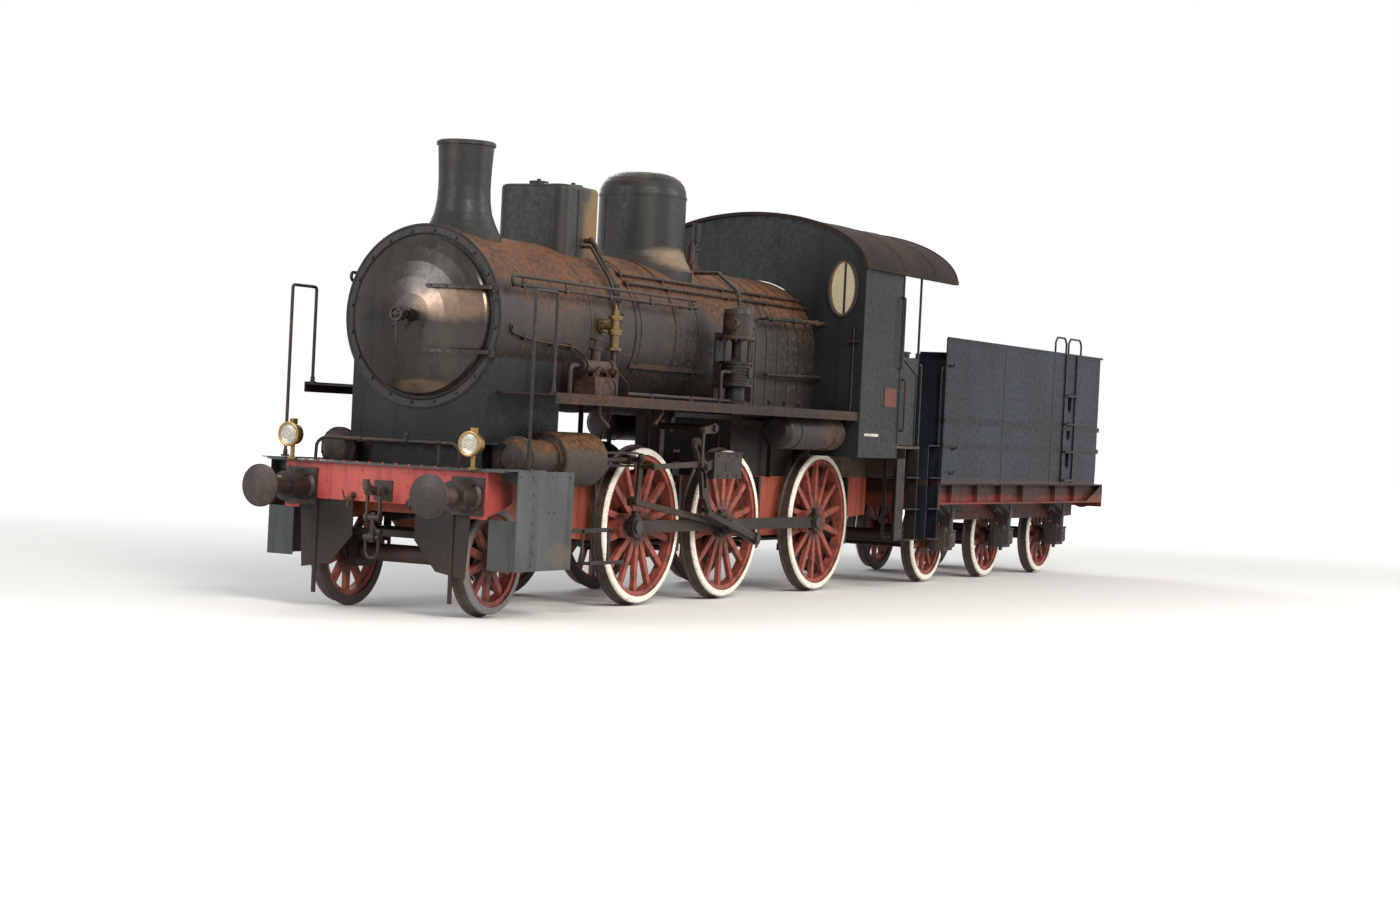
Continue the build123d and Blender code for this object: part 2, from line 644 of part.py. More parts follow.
with BuildPart(BASE) as handrails:
    for sign in (1, -1):
        y = sign * RAIL_Y
        upper = RAIL_Z + 75
        pipe([(3350, y, RAIL_Z), (6830, y, RAIL_Z), (6830, y, upper), (3350, sign * 840, upper)], 15)
        for x in (3500, 4300, 5100, 5900, 6650):
            outer = SMOKEBOX_R if x > SMOKEBOX_REAR else BARREL_R
            reach = math.sqrt((outer + 12) ** 2 - (RAIL_Z - 13 - BOILER_Z) ** 2)
            rod_y(sign * reach, sign * 875, x, RAIL_Z, 13)
            rod_y(sign * 848, sign * 880, x, RAIL_Z, 27)
            rod_z(RAIL_Z, RAIL_Z + 85, x, sign * (RAIL_Y - 8), 8)
        pipe([(7120, sign * 1290, 1297), (7120, sign * 1290, 2850), (6905, sign * 1290, 2850)], 15)
        pipe([(6905, sign * 1290, 2850), (6760, sign * 1290, 2850), (6760, sign * 1290, 1969)], 15)
        for x, foot in ((7120, 1295.5), (6760, BOARD_Z + 0.5)):
            rod_z(foot, foot + 16, x, sign * 1290, 38)
            rod_z(foot + 16, foot + 60, x, sign * 1290, 21)
        rail_y = sign * (CAB_Y + 1)
        off_y = sign * (CAB_Y + 40)
        pipe([(-760, rail_y, 1800), (-760, off_y, 1800), (-760, off_y, 2380), (-760, rail_y, 2380)], 13)
        pipe([(-640, rail_y, 2500), (-640, off_y, 2500), (-640, off_y, 3300), (-640, rail_y, 3300)], 13)
        pipe([(-1240, sign * 1380, 1640), (-1240, sign * 1380, 2560), (LOW_REAR, sign * 1380, 2560)], 13)
hand_in(handrails, "handrails")

# Pipes over and beside the boiler, with the injector and its valves on the left.
with BuildPart(BASE) as pipework:
    for sign in (1, -1):
        pipe(
            [
                (4845, sign * 384, 3400), (4845, sign * 480, 3400), (4845, sign * 700, 3100),
                (4835, sign * 812, 2850), (4900, sign * 815, 2300), (4900, sign * 815, BOARD_Z + 1),
            ],
            17,
        )
        pipe(
            [
                (4900, sign * 815, 1954), (4900, sign * 815, 1820), (5010, sign * 750, 1500),
                (5010, sign * 750, 800), (4990, sign * 750, 480), (4860, sign * 750, 270),
                (4720, sign * 750, 130),
            ],
            12,
        )
        block(4996, 5024, sign * 616, sign * 748, 1150, 1190)
        pipe([(4480, sign * 580, 3175), (402, sign * 580, 3175)], 15)
        pipe([(4480, sign * 660, 3090), (402, sign * 660, 3090)], 15)
        for x in (4440, 3600, 2300, 1400):
            block(x - 14, x + 14, sign * 545, sign * 595, 3146, 3192)
            block(x - 14, x + 14, sign * 625, sign * 675, 3062, 3108)
        pipe([(5100, sign * 930, 2420), (5100, sign * 930, 1968)], 26)
        rod_z(2180, 2240, 5100, sign * 930, 44)
        pipe([(1800, sign * 880, 2910), (402, sign * 880, 2930)], 22)
        pipe([(1750, sign * 880, 2320), (402, sign * 880, 2340)], 18)
        for x, z in ((1700, 2911), (1150, 2919), (600, 2927)):
            rod_y(sign * 740, sign * 884, x, z, 14)
            rod_y(sign * 862, sign * 906, x, z, 32)
        for x, z in ((1650, 2321), (1100, 2330), (560, 2338)):
            rod_y(sign * 780, sign * 884, x, z, 12)
    pipe([(5154, 1120, 2010), (3070, 1120, 2010)], 20)
    for x in (4700, 3900, 3300):
        block(x - 16, x + 16, 1096, 1144, BOARD_Z, 2034)
    block(5350, 5750, 900, 1120, BOARD_Z + 1, 2150)
    rod_x(5300, 5860, 1010, 2240, 60)
    rod_x(5330, 5362, 1010, 2240, 78)
    rod_x(5790, 5822, 1010, 2240, 78)
    rod_z(2150, 2400, 5578, 1010, 45)
    rod_z(2400, 2420, 5578, 1010, 62)
    rod_z(2420, 2500, 5578, 1010, 12)
    rod_z(2490, 2504, 5578, 1010, 52)
    pipe([(5300, 1010, 2240), (5180, 1010, 2240), (5180, 1010, BOARD_Z + 1)], 24)
    pipe([(5860, 1010, 2240), (6020, 1010, 2240), (6020, 1010, BOARD_Z + 1)], 24)
    pipe([(5700, 1150, 1954), (5700, 1150, 1800), (5520, 1150, 1700)], 16)
    pipe([(4560, 1180, 1954), (4560, 1180, 1860), (4700, 1180, 1740)], 20)
    steam_pipe = [(2450, 330, 3330), (2450, 620, 3330), (2780, 1020, 3130), (2860, 1080, 3060)]
    pipe(steam_pipe + [(2860, 1080, 2976.5)], 20)
    pipe([(3260, 1120, 2010), (3260, 1120, 2300), (3045.5, 1120, 2300)], 20)
    pipe([(420, 1262, 2900), (420, 1262, 2090), (440, 1262, BOARD_Z + 1)], 9)
    block(401, 470, 1210, 1330, 2742, 2754)
    rod_x(CAB_FRONT, FIREBOX_FRONT, 0, BOILER_Z, BARREL_R + 6.5, mode=Mode.SUBTRACT)
    block(CAB_FRONT, FIREBOX_FRONT, -BARREL_R - 6.5, BARREL_R + 6.5, 1985, BOILER_Z, mode=Mode.SUBTRACT)
    rod_x(FIREBOX_FRONT, SMOKEBOX_REAR, 0, BOILER_Z, BARREL_R + 0.5, mode=Mode.SUBTRACT)
    rod_x(3090, 3146, 0, BOILER_Z, BARREL_R + 7, mode=Mode.SUBTRACT)
hand_in(pipework, "pipework")

# Air compressor standing on the left running board: steam end over air end.
PUMP = (2860.0, 1080.0)

with BuildPart(BASE) as air_compressor:
    turned_up(
        PUMP[0],
        PUMP[1],
        [
            (0, BOARD_Z + 1), (150, BOARD_Z + 1), (150, 2000), (96, 2030), (96, 2150), (172, 2165),
            (172, 2190), (150, 2192), (150, 2386), (172, 2388), (172, 2412), (70, 2420), (44, 2450),
            (44, 2600), (80, 2630), (174, 2640), (174, 2668), (152, 2670), (152, 2900), (138, 2940),
            (104, 2966), (52, 2975), (0, 2976),
        ],
    )
    for z in (2222, 2254, 2286, 2318, 2350):
        rod_z(z, z + 12, PUMP[0], PUMP[1], 164)
    for turn in (45, 135, 225, 315):
        x = PUMP[0] + 128 * math.cos(math.radians(turn))
        y = PUMP[1] + 128 * math.sin(math.radians(turn))
        rod_z(2405, 2650, x, y, 14)
    block(PUMP[0] - 120, PUMP[0] + 120, 880, PUMP[1], 2140, 2200)
    block(PUMP[0] - 120, PUMP[0] + 120, 880, 900, BOARD_Z + 1, 2700)
    block(PUMP[0] - 120, PUMP[0] + 120, 880, PUMP[1], 2640, 2680)
    rod_x(PUMP[0] + 100, PUMP[0] + 225, 1130, 2790, 46)
    rod_x(PUMP[0] + 205, PUMP[0] + 240, 1130, 2790, 60)
    rod_x(PUMP[0] - 215, PUMP[0] - 110, 1130, 2790, 40)
    rod_y(PUMP[1] + 100, PUMP[1] + 172, PUMP[0], 2300, 52)
    rod_x(PUMP[0] + 100, PUMP[0] + 185, PUMP[1] + 40, 2300, 36)
hand_in(air_compressor, "air_compressor")

# Feed check valves on both sides of the barrel.
with BuildPart(BASE) as check_valves:
    for sign in (1, -1):
        y = sign * 930
        rod_z(2420, 2755, 5100, y, 42)
        rod_z(2560, 2600, 5100, y, 66)
        rod_z(2700, 2720, 5100, y, 60)
        rod_y(sign * 775, y, 5100, 2640, 36)
        rod_y(sign * 792, sign * 812, 5100, 2640, 78)
    rod_x(4900, 5240, 0, BOILER_Z, BARREL_R + 0.5, mode=Mode.SUBTRACT)
hand_in(check_valves, "check_valves")

# Inside cylinders: one casting between the frames with two front covers.
with BuildPart(BASE) as cylinder_block:
    block(5620, 6760, -584, 584, 810, 1494)
    for y in (-300, 300):
        rod_x(5620, 6800, y, 1030, 262)
        rod_x(6790, 6830, y, 1030, 225)
    block(-100, 9000, -584, 584, 0, 640, mode=Mode.SUBTRACT)
hand_in(cylinder_block, "cylinder_block")

# Valve chests outside the frames, with end covers and spindle guides.
with BuildPart(BASE) as valve_chests:
    for sign in (1, -1):
        y = sign * 950
        turned(
            y,
            1390,
            [
                (5500, 0), (5500, 120), (5560, 150), (5580, 245), (6290, 245), (6300, 236), (6300, 192),
                (6330, 190), (6330, 166), (6740, 166), (6740, 192), (6785, 192), (6798, 160), (6835, 118),
                (6850, 0),
            ],
        )
        rod_x(5300, 5520, y, 1390, 60)
        rod_x(5480, 5510, y, 1390, 100)
        block(5750, 6650, sign * 616, y, 1250, 1494)
hand_in(valve_chests, "valve_chests")

# Brass headlamps on short posts, with glass in front.
with BuildPart(BASE) as headlamps:
    for sign in (1, -1):
        y = sign * 950
        turned(y, 1500, [(7420, 0), (7420, 70), (7440, 92), (7540, 98), (7540, 88), (7500, 40), (7490, 0)])
        turned(y, 1500, [(7525, 98), (7525, 108), (7545, 108), (7545, 92), (7535, 92)])
        rod_z(1296, 1410, 7470, y, 20)
        rod_z(1282, 1300, 7470, y, 45)
        block(7440, 7500, y - 20, y + 20, 1590, 1640)
hand_in(headlamps, "headlamps")

with BuildPart(BASE) as headlamp_lenses:
    for sign in (1, -1):
        turned(sign * 950, 1500, [(7541, 0), (7541, 91), (7549, 85), (7557, 55), (7560, 0)])
hand_in(headlamp_lenses, "headlamp_lenses")

# Static half of the valve motion: bracket, slotted expansion link, radius rod,
# combination lever, valve spindle, and the lifting shaft with its reach rod.
LINK_Y = 1180.0
LEVER_Y = 1070.0
SPINDLE_Y = 950.0
SHAFT = (3560.0, 1730.0)

with BuildPart(BASE) as valve_gear:
    for name, sign, crank, ecc, lever_top, link_foot, lever_foot in SIDES:
        y = sign * LINK_Y
        high, low = sorted((sign * 1160, sign * 1250), reverse=True)
        block(2960, 3560, low, high, 1235, 1490)
        block(3180, 3260, sign * 616, sign * 1160, 1380, 1470)
        block(3150, 3290, sign * 616, sign * 640, 1230, 1500)
        for y0, y1 in ((1134, 1152), (1212, 1236)):
            bar(sign, (3480, 1400), TRUNNION, y0, y1, 45, 52, 90, 84)
        rod_y(sign * 1134, sign * 1250, TRUNNION[0], TRUNNION[1], 30)

        tilt = math.degrees(math.atan2(link_foot[0] - TRUNNION[0], TRUNNION[1] - link_foot[1]))
        placed = Pos(TRUNNION[0], TRUNNION[1]) * Rot(0, 0, tilt)
        bow = LINK_ARC - math.sqrt(LINK_ARC**2 - LINK_HALF**2)
        with BuildSketch(side(y + 20)) as flat:
            with Locations(placed):
                with Locations((LINK_ARC, 0)):
                    Circle(LINK_ARC + 62)
                    Circle(LINK_ARC - 62, mode=Mode.SUBTRACT)
                Rectangle(400, 2 * LINK_HALF, mode=Mode.INTERSECT)
                with Locations((bow, LINK_HALF), (bow, -LINK_HALF)):
                    Circle(62)
        extrude(flat.sketch, amount=40)
        slot_half = LINK_HALF - 30
        slot_bow = LINK_ARC - math.sqrt(LINK_ARC**2 - slot_half**2)
        with BuildSketch(side(y + 30)) as flat:
            with Locations(placed):
                with Locations((LINK_ARC, 0)):
                    Circle(LINK_ARC + 25)
                    Circle(LINK_ARC - 25, mode=Mode.SUBTRACT)
                Rectangle(400, 2 * slot_half, mode=Mode.INTERSECT)
                with Locations((slot_bow, slot_half), (slot_bow, -slot_half)):
                    Circle(25)
        extrude(flat.sketch, amount=60, mode=Mode.SUBTRACT)
        rod_y(y - 20, y + 20, TRUNNION[0], TRUNNION[1], 60)
        arm = math.radians(tilt)
        arm_top = (
            TRUNNION[0] + LINK_HALF * math.sin(arm) + bow * math.cos(arm),
            TRUNNION[1] - LINK_HALF * math.cos(arm) + bow * math.sin(arm),
        )
        bar(sign, arm_top, link_foot, 1160, 1200, 50, 44, 84, 62)
        rod_y(sign * 1155, sign * 1204, link_foot[0], link_foot[1], 30)

        die = (TRUNNION[0] + 12, TRUNNION[1] + 34)
        joint = (lever_top[0], VALVE_Z - 50)
        bar(sign, die, joint, 1204, 1228, 40, 36, 56, 50)
        rod_y(sign * 1040, sign * 1234, joint[0], joint[1], 20)
        bar(sign, lever_top, lever_foot, LEVER_Y - 14, LEVER_Y + 14, 42, 38, 78, 58)
        rod_y(sign * 1052, sign * 1056, lever_foot[0], lever_foot[1], 30)
        block(lever_top[0] - 45, lever_top[0] + 75, sign * 905, sign * 995, VALVE_Z - 38, VALVE_Z + 52)
        rod_y(sign * 905, sign * 1096, lever_top[0], VALVE_Z + 10, 22)
        rod_x(lever_top[0] + 40, 5300, sign * SPINDLE_Y, VALVE_Z, 26)
        for top in (VALVE_Z + 56, VALVE_Z - 64):
            block(lever_top[0] - 120, 5300, sign * 920, sign * 980, top, top + 22)
        block(5272, 5300, sign * 890, sign * 1010, VALVE_Z - 76, VALVE_Z + 90)

        rod_y(sign * 620, sign * 1250, SHAFT[0], SHAFT[1], 34)
        block(SHAFT[0] - 45, SHAFT[0] + 45, sign * 616, sign * 650, 1240, 1790)
        bar(sign, SHAFT, (3800, 1700), 1212, 1240, 52, 34, 90, 60)
        bar(sign, (3800, 1700), (3815, 1374), 1230, 1250, 32, 32, 44, 40)
        rod_y(sign * 1204, sign * 1252, 3800, 1700, 18)
        rod_y(sign * 1204, sign * 1252, 3815, 1374, 18)
    bar(1, SHAFT, (3540, 1850), 730, 758, 52, 30, 80, 54)
    bar(1, (3540, 1850), (420, 1850), 760, 782, 30, 26, 46, 40)
    rod_y(726, 786, 3540, 1850, 16)
hand_in(valve_gear, "valve_gear")

# Air reservoirs slung under the running boards.
with BuildPart(BASE) as air_reservoirs:
    for sign in (1, -1):
        y = sign * 1065
        front_end = [(1785, 187), (1815, 175), (1850, 120), (1850, 0)]
        turned(y, 1735, [(430, 0), (430, 120), (465, 175), (495, 187)] + front_end)
        for x in (700, 1560):
            rod_x(x - 25, x + 25, y, 1735, 193)
            block(x - 20, x + 20, y - 30, y + 30, 1870, 1955)
hand_in(air_reservoirs, "air_reservoirs")

# Cab steps under each entrance: two uprights and three lipped treads, open behind.
def ladder(x0, x1, top):
    """Steps at both sides between outer uprights, stayed to a slimmer inner pair."""
    for sign in (1, -1):
        for x in (x0, x1 - 14):
            block(x, x + 14, sign * 1270, sign * 1400, 560, top)
            block(x, x + 14, sign * 1140, sign * 1180, 560, top)
            for z in (620, 1180):
                block(x, x + 14, sign * 1160, sign * 1275, z, z + 30)
        for z in (1280, 920, 570):
            block(x0, x1, sign * 1170, sign * 1440, z - 10, z)
            block(x0, x1, sign * 1170, sign * 1178, z, z + 26)


with BuildPart(BASE) as cab_steps:
    ladder(-1240, -846, 1599.5)
    for sign in (1, -1):
        block(-862, -640, sign * 1388, sign * 1400, 560, 1484)
hand_in(cab_steps, "cab_steps")


# Leading truck: two bearers with their boxes, a crossbeam and the pivot arm.
with BuildPart(BASE) as leading_truck:
    for sign in (1, -1):
        y = sign * 600
        block(LEADER_X - 130, LEADER_X + 130, y - 45, y + 45, 340, 620)
        block(LEADER_X - 420, LEADER_X + 420, y - 20, y + 20, 600, 680)
        for end in (-1, 1):
            block(LEADER_X + end * 400 - 20, LEADER_X + end * 400 + 20, y - 30, y + 30, 560, 780)
    for end in (-1, 1):
        block(LEADER_X + end * 300 - 60, LEADER_X + end * 300 + 60, -600, 600, 640, 700)
    block(LEADER_X - 1900, LEADER_X - 300, -60, 60, 560, 620)
    block(LEADER_X - 1900, LEADER_X - 1800, -585, 585, 560, 640)
    for sign in (1, -1):
        block(LEADER_X - 1900, LEADER_X - 1800, sign * 560, sign * 584, 560, 690)
    rod_y(-700, 700, LEADER_X, LEADER_R, AXLE_R - 12 + 1.5, mode=Mode.SUBTRACT)
hand_in(leading_truck, "leading_truck")


def wheel_pair(axle_x, tread, axle_r, spokes, hub_r, cranks):
    """Axle with two spoked wheels in their tyres; cranks is one direction a side, or none."""
    rod_y(-WHEEL_FACE, WHEEL_FACE, axle_x, tread, axle_r)
    for sign, crank in ((1, cranks[0]), (-1, cranks[1])):
        near = WHEEL_BACK
        with BuildSketch(cross(axle_x)) as flat:
            with BuildLine():
                tyre = [
                    (near, tread - 66), (near, tread + 12), (near + 9, tread + 26),
                    (near + 17, tread + FLANGE),
                    (near + 25, tread + 24), (near + 36, tread + 1), (WHEEL_FACE - 12, tread - 3),
                    (WHEEL_FACE, tread - 12), (WHEEL_FACE, tread - 66),
                ]
                Polyline(*[(sign * y, tread + r) for y, r in tyre], close=True)
            make_face()
        revolve(flat.sketch, axis=Axis((axle_x + DATUM_X, 0, FLANGE + tread), (0, 1, 0)))
        high = WHEEL_FACE - 20 if sign > 0 else -WHEEL_BACK - 20
        with BuildSketch(side(high)) as flat:
            with Locations((axle_x, tread)):
                Circle(tread - 60)
                Circle(tread - 112, mode=Mode.SUBTRACT)
            if crank:
                with Locations((axle_x, tread)):
                    Circle(tread - 90)
                with Locations((axle_x + crank[0] * 330, tread + crank[1] * 330)):
                    turn = math.degrees(math.atan2(crank[1], crank[0]))
                    Rectangle(1500, 2 * tread, rotation=turn, mode=Mode.SUBTRACT)
                with Locations((axle_x, tread)):
                    Circle(tread - 60)
                    Circle(tread - 112, mode=Mode.SUBTRACT)
        extrude(flat.sketch, amount=100)
        high = 774 if sign > 0 else -726
        with BuildSketch(side(high)) as flat:
            with Locations((axle_x, tread)):
                with PolarLocations(0, spokes, start_angle=180 / spokes):
                    Polygon(
                        (hub_r - 20, -38), (tread - 100, -27), (tread - 100, 27), (hub_r - 20, 38), align=None
                    )
        extrude(flat.sketch, amount=48)
        high = WHEEL_FACE + 14 if sign > 0 else -WHEEL_BACK
        with BuildSketch(side(high)) as flat:
            with Locations((axle_x, tread)):
                Circle(hub_r)
        extrude(flat.sketch, amount=WHEEL_FACE + 14 - WHEEL_BACK)
        if crank:
            high = WHEEL_FACE + 14 if sign > 0 else -WHEEL_BACK - 20
            with BuildSketch(side(high)) as flat:
                with Locations((axle_x + crank[0] * CRANK / 2, tread + crank[1] * CRANK / 2)):
                    turn = math.degrees(math.atan2(crank[1], crank[0]))
                    SlotCenterToCenter(CRANK, 230, rotation=turn)
            extrude(flat.sketch, amount=WHEEL_FACE + 14 - WHEEL_BACK - 20)


with BuildPart(BASE) as leading_wheelset:
    wheel_pair(LEADER_X, LEADER_R, AXLE_R - 12, 10, 110, (None, None))
hand_in(leading_wheelset, "leading_wheelset")

PIN_R = 48.0
ECC_PIN_R = 32.0
ROD_GAP = 1.5

# Driving wheelsets. The middle one carries the long crankpins and return cranks.
for number, axle in enumerate(DRIVERS, start=1):
    with BuildPart(BASE) as wheelset:
        wheel_pair(axle, DRIVER_R, AXLE_R, 14, 140, (SIDES[0][2], SIDES[1][2]))
        for name, sign, crank, ecc, lever_top, link_foot, lever_foot in SIDES:
            px = axle + crank[0] * CRANK
            pz = DRIVER_R + crank[1] * CRANK
            reach = 1056 if number == 2 else 978
            rod_y(sign * 830, sign * reach, px, pz, PIN_R)
            if number == 2:
                ex = axle + ecc[0]
                ez = DRIVER_R + ecc[1]
                turn = math.degrees(math.atan2(ez - pz, ex - px))
                long = math.hypot(ex - px, ez - pz)
                high = 1080 if sign > 0 else -1050
                with BuildSketch(side(high)):
                    with Locations(((px + ex) / 2, (pz + ez) / 2)):
                        SlotCenterToCenter(long, 110, rotation=turn)
                extrude(amount=30)
                rod_y(sign * 1075, sign * 1128, ex, ez, ECC_PIN_R)
                rod_y(sign * 1124, sign * 1134, ex, ez, 46)
            else:
                rod_y(sign * 974, sign * 988, px, pz, 66)
    hand_in(wheelset, f"driving_wheelset_{number}")

# Coupling rods with fluted sides and three eyes; lever rods and eccentric rods.
for name, sign, crank, ecc, lever_top, link_foot, lever_foot in SIDES:
    px = [axle + crank[0] * CRANK for axle in DRIVERS]
    pz = DRIVER_R + crank[1] * CRANK
    with BuildPart(BASE) as coupling_rod:
        high = 970 if sign > 0 else -894
        with BuildSketch(side(high)):
            for x, r in zip(px, (105, 125, 105)):
                with Locations((x, pz)):
                    Circle(r)
        extrude(amount=76)
        high = 955 if sign > 0 else -909
        with BuildSketch(side(high)):
            with Locations(((px[0] + px[2]) / 2, pz)):
                Rectangle(px[0] - px[2], 116)
        extrude(amount=46)
        for x0, x1 in ((px[1] + 150, px[0] - 130), (px[2] + 130, px[1] - 150)):
            block(x0, x1, sign * 950, sign * 960, pz - 34, pz + 34, mode=Mode.SUBTRACT)
        for x in px:
            block(x - 30, x + 30, sign * 905, sign * 950, pz + 90, pz + 150)
            rod_y(sign * 800, sign * 1100, x, pz, PIN_R + ROD_GAP, mode=Mode.SUBTRACT)
    hand_in(coupling_rod, f"coupling_rod_{name}")

    with BuildPart(BASE) as lever_rod:
        bar(sign, (px[1], pz), lever_foot, 990, 1030, 70, 44, 70, 52)
        rod_y(sign * 984, sign * 1036, px[1], pz, 92)
        rod_y(sign * 984, sign * 1036, lever_foot[0], lever_foot[1], 48)
        rod_y(sign * 900, sign * 1100, px[1], pz, PIN_R + ROD_GAP, mode=Mode.SUBTRACT)
        rod_y(sign * 1030, sign * 1047, lever_foot[0], lever_foot[1], 26)
    hand_in(lever_rod, f"lever_rod_{name}")

    with BuildPart(BASE) as eccentric_rod:
        ecc_pin = (DRIVERS[1] + ecc[0], DRIVER_R + ecc[1])
        bar(sign, ecc_pin, link_foot, 1088, 1118, 50, 40, 62, 46)
        rod_y(sign * 1084, sign * 1122, ecc_pin[0], ecc_pin[1], 66)
        rod_y(sign * 1084, sign * 1122, link_foot[0], link_foot[1], 44)
        rod_y(sign * 1000, sign * 1200, ecc_pin[0], ecc_pin[1], ECC_PIN_R + ROD_GAP, mode=Mode.SUBTRACT)
        rod_y(sign * 1116, sign * 1150, link_foot[0], link_foot[1], 22)
    hand_in(eccentric_rod, f"eccentric_rod_{name}")

# Engine brakes: a hanger and shoe behind each driving wheel, and cross rods.
with BuildPart(BASE) as brake_gear:
    for axle in DRIVERS:
        for sign in (1, -1):
            with BuildSketch(side(sign * 760 + 35)):
                with Locations((axle, DRIVER_R)):
                    Circle(DRIVER_R + 66)
                    Circle(DRIVER_R + 12, mode=Mode.SUBTRACT)
                with Locations((axle - DRIVER_R, DRIVER_R - 60)):
                    Rectangle(300, 420, mode=Mode.INTERSECT)
            extrude(amount=70)
            x = axle - DRIVER_R - 66
            block(x - 22, x + 22, sign * 760 - 22, sign * 760 + 22, 490, 1240)
            block(x - 40, x + 40, sign * 616, sign * 772, 1180, 1240)
        x = axle - DRIVER_R - 66
        rod_y(-770, 770, x, 510, 30)
    rod_x(DRIVERS[2] - DRIVER_R - 66, DRIVERS[0] - DRIVER_R - 66, 0, 510, 26)
hand_in(brake_gear, "brake_gear")

# Tender underframe: red channel sills, inner plates with pedestals, end beam.
SILL_LOW = 960.0
SILL_TOP = 1209.0

with BuildPart(BASE) as tender_frame:
    for sign in (1, -1):
        block(REAR_BEAM + 30, -1960, sign * 1290, sign * 1306, SILL_LOW, SILL_TOP)
        block(REAR_BEAM + 30, -1960, sign * 1290, sign * 1380, SILL_LOW, SILL_LOW + 20)
        block(REAR_BEAM + 30, -1960, sign * 1290, sign * 1380, SILL_TOP - 20, SILL_TOP)
        for x in (-2400, -3230, -4020, -4800, -6000, -6760):
            block(x, x + 14, sign * 1300, sign * 1368, SILL_LOW + 10, SILL_TOP - 10)
        plate(
            1380 if sign > 0 else -1368,
            12,
            [(-7170, SILL_LOW + 5), (REAR_BEAM + 25, SILL_LOW + 5), (REAR_BEAM + 25, SILL_TOP - 5)],
        )
        outline = [(-2000, 1180), (-2000, 800), (-2700, 760)]
        for axle in TENDER_AXLES:
            outline += [
                (axle + 260, 740), (axle + 200, 330), (axle + 135, 330), (axle + 135, 700),
                (axle - 135, 700), (axle - 135, 330), (axle - 200, 330), (axle - 260, 740),
            ]
        outline += [(REAR_BEAM + 30, 760), (REAR_BEAM + 30, 1180)]
        plate(sign * 950 + 12, 24, outline)
    block(REAR_BEAM, REAR_BEAM + 30, -1380, 1380, 900, SILL_TOP)
    block(-1990, -1960, -1380, 1380, 900, SILL_TOP)
    for x in (-2400, -4020, -6000):
        block(x, x + 40, -1300, 1300, 1100, 1180)
    block(REAR_BEAM + 30, -1990, -940, 940, 1180, 1200)
    block(REAR_BEAM + 30, -1990, -1300, 1300, 1195, SILL_TOP)
    block(-1960, DRAWPIN_X - 70, -90, 90, 960, 1040)
    rod_z(960, 1040, DRAWPIN_X, 0, 90)
    rod_z(900, 1100, DRAWPIN_X, 0, 41.5, mode=Mode.SUBTRACT)
hand_in(tender_frame, "tender_frame")

# Drawbar pocket and pin at the engine's rear.
with BuildPart(BASE) as drawbar:
    for z in (920, 1045):
        block(-1760, -1560, -140, 140, z, z + 35)
    rod_z(900, 1090, DRAWPIN_X, 0, 40)
    rod_z(1080, 1100, DRAWPIN_X, 0, 54)
hand_in(drawbar, "drawbar")

# Tank: sides, rounded rear, coal space open at the top with a sloped floor, foot pockets.
COAL_END = -5200.0
DECK_Z = 2760.0
WALL = 12.0
RUNGS = (2370.0, 2000.0, 1635.0)
LADDER_X = (-6440.0, -6020.0)

with BuildPart(BASE) as tender_tank:
    with BuildSketch(level(TANK_LOW)):
        with Locations(((TANK_FRONT + TANK_REAR) / 2, 0)):
            RectangleRounded(TANK_FRONT - TANK_REAR, 2 * TANK_Y, 130)
        with Locations((TANK_FRONT - 100, 0)):
            Rectangle(200, 2 * TANK_Y)
    extrude(amount=TANK_TOP - TANK_LOW)
    plate(
        900,
        1800,
        [(TANK_FRONT + 10, 1640), (-3300, 1640), (COAL_END, 2500), (COAL_END, 3000), (TANK_FRONT + 10, 3000)],
        mode=Mode.SUBTRACT,
    )
    inner = TANK_Y - WALL
    block(COAL_END, TANK_REAR + WALL, -inner, inner, DECK_Z, 3000, mode=Mode.SUBTRACT)
    block(COAL_END, TANK_FRONT - 400, -inner, inner, DECK_Z, 3000, mode=Mode.SUBTRACT)
    block(TANK_FRONT - 420, TANK_FRONT + 1, -700, 700, 1640, 3000, mode=Mode.SUBTRACT)
    block(TANK_FRONT - 420, TANK_FRONT + 1, -inner, inner, 2665, 3000, mode=Mode.SUBTRACT)
    for sign in (1, -1):
        for z in RUNGS:
            with BuildSketch(side(sign * TANK_Y + (1 if sign > 0 else 71))):
                with Locations(((LADDER_X[0] + LADDER_X[1]) / 2, z - 92)):
                    SlotOverall(250, 140, rotation=90)
            extrude(amount=72, mode=Mode.SUBTRACT)
hand_in(tender_tank, "tender_tank")

# Tender axle boxes with leaf springs above them.
with BuildPart(BASE) as tender_axle_boxes:
    for axle in TENDER_AXLES:
        for sign in (1, -1):
            y = sign * 1000
            block(axle - 134, axle + 134, sign * 900, sign * 1090, 380, 660)
            block(axle - 95, axle + 95, sign * 1090, sign * 1130, 420, 610)
            for n in range(5):
                half = 380 - 64 * n
                block(axle - half, axle + half, sign * 976, sign * 1066, 880 - 22 * n, 902 - 22 * n)
            block(axle - 45, axle + 45, sign * 985, sign * 1075, 655, 910)
            for end in (-1, 1):
                block(
                    axle + end * 362 - 16, axle + end * 362 + 16, sign * 963, sign * 1075, 860, 1000
                )
    for axle in TENDER_AXLES:
        rod_y(-1040, 1040, axle, TENDER_R, 81.5, mode=Mode.SUBTRACT)
hand_in(tender_axle_boxes, "tender_axle_boxes")

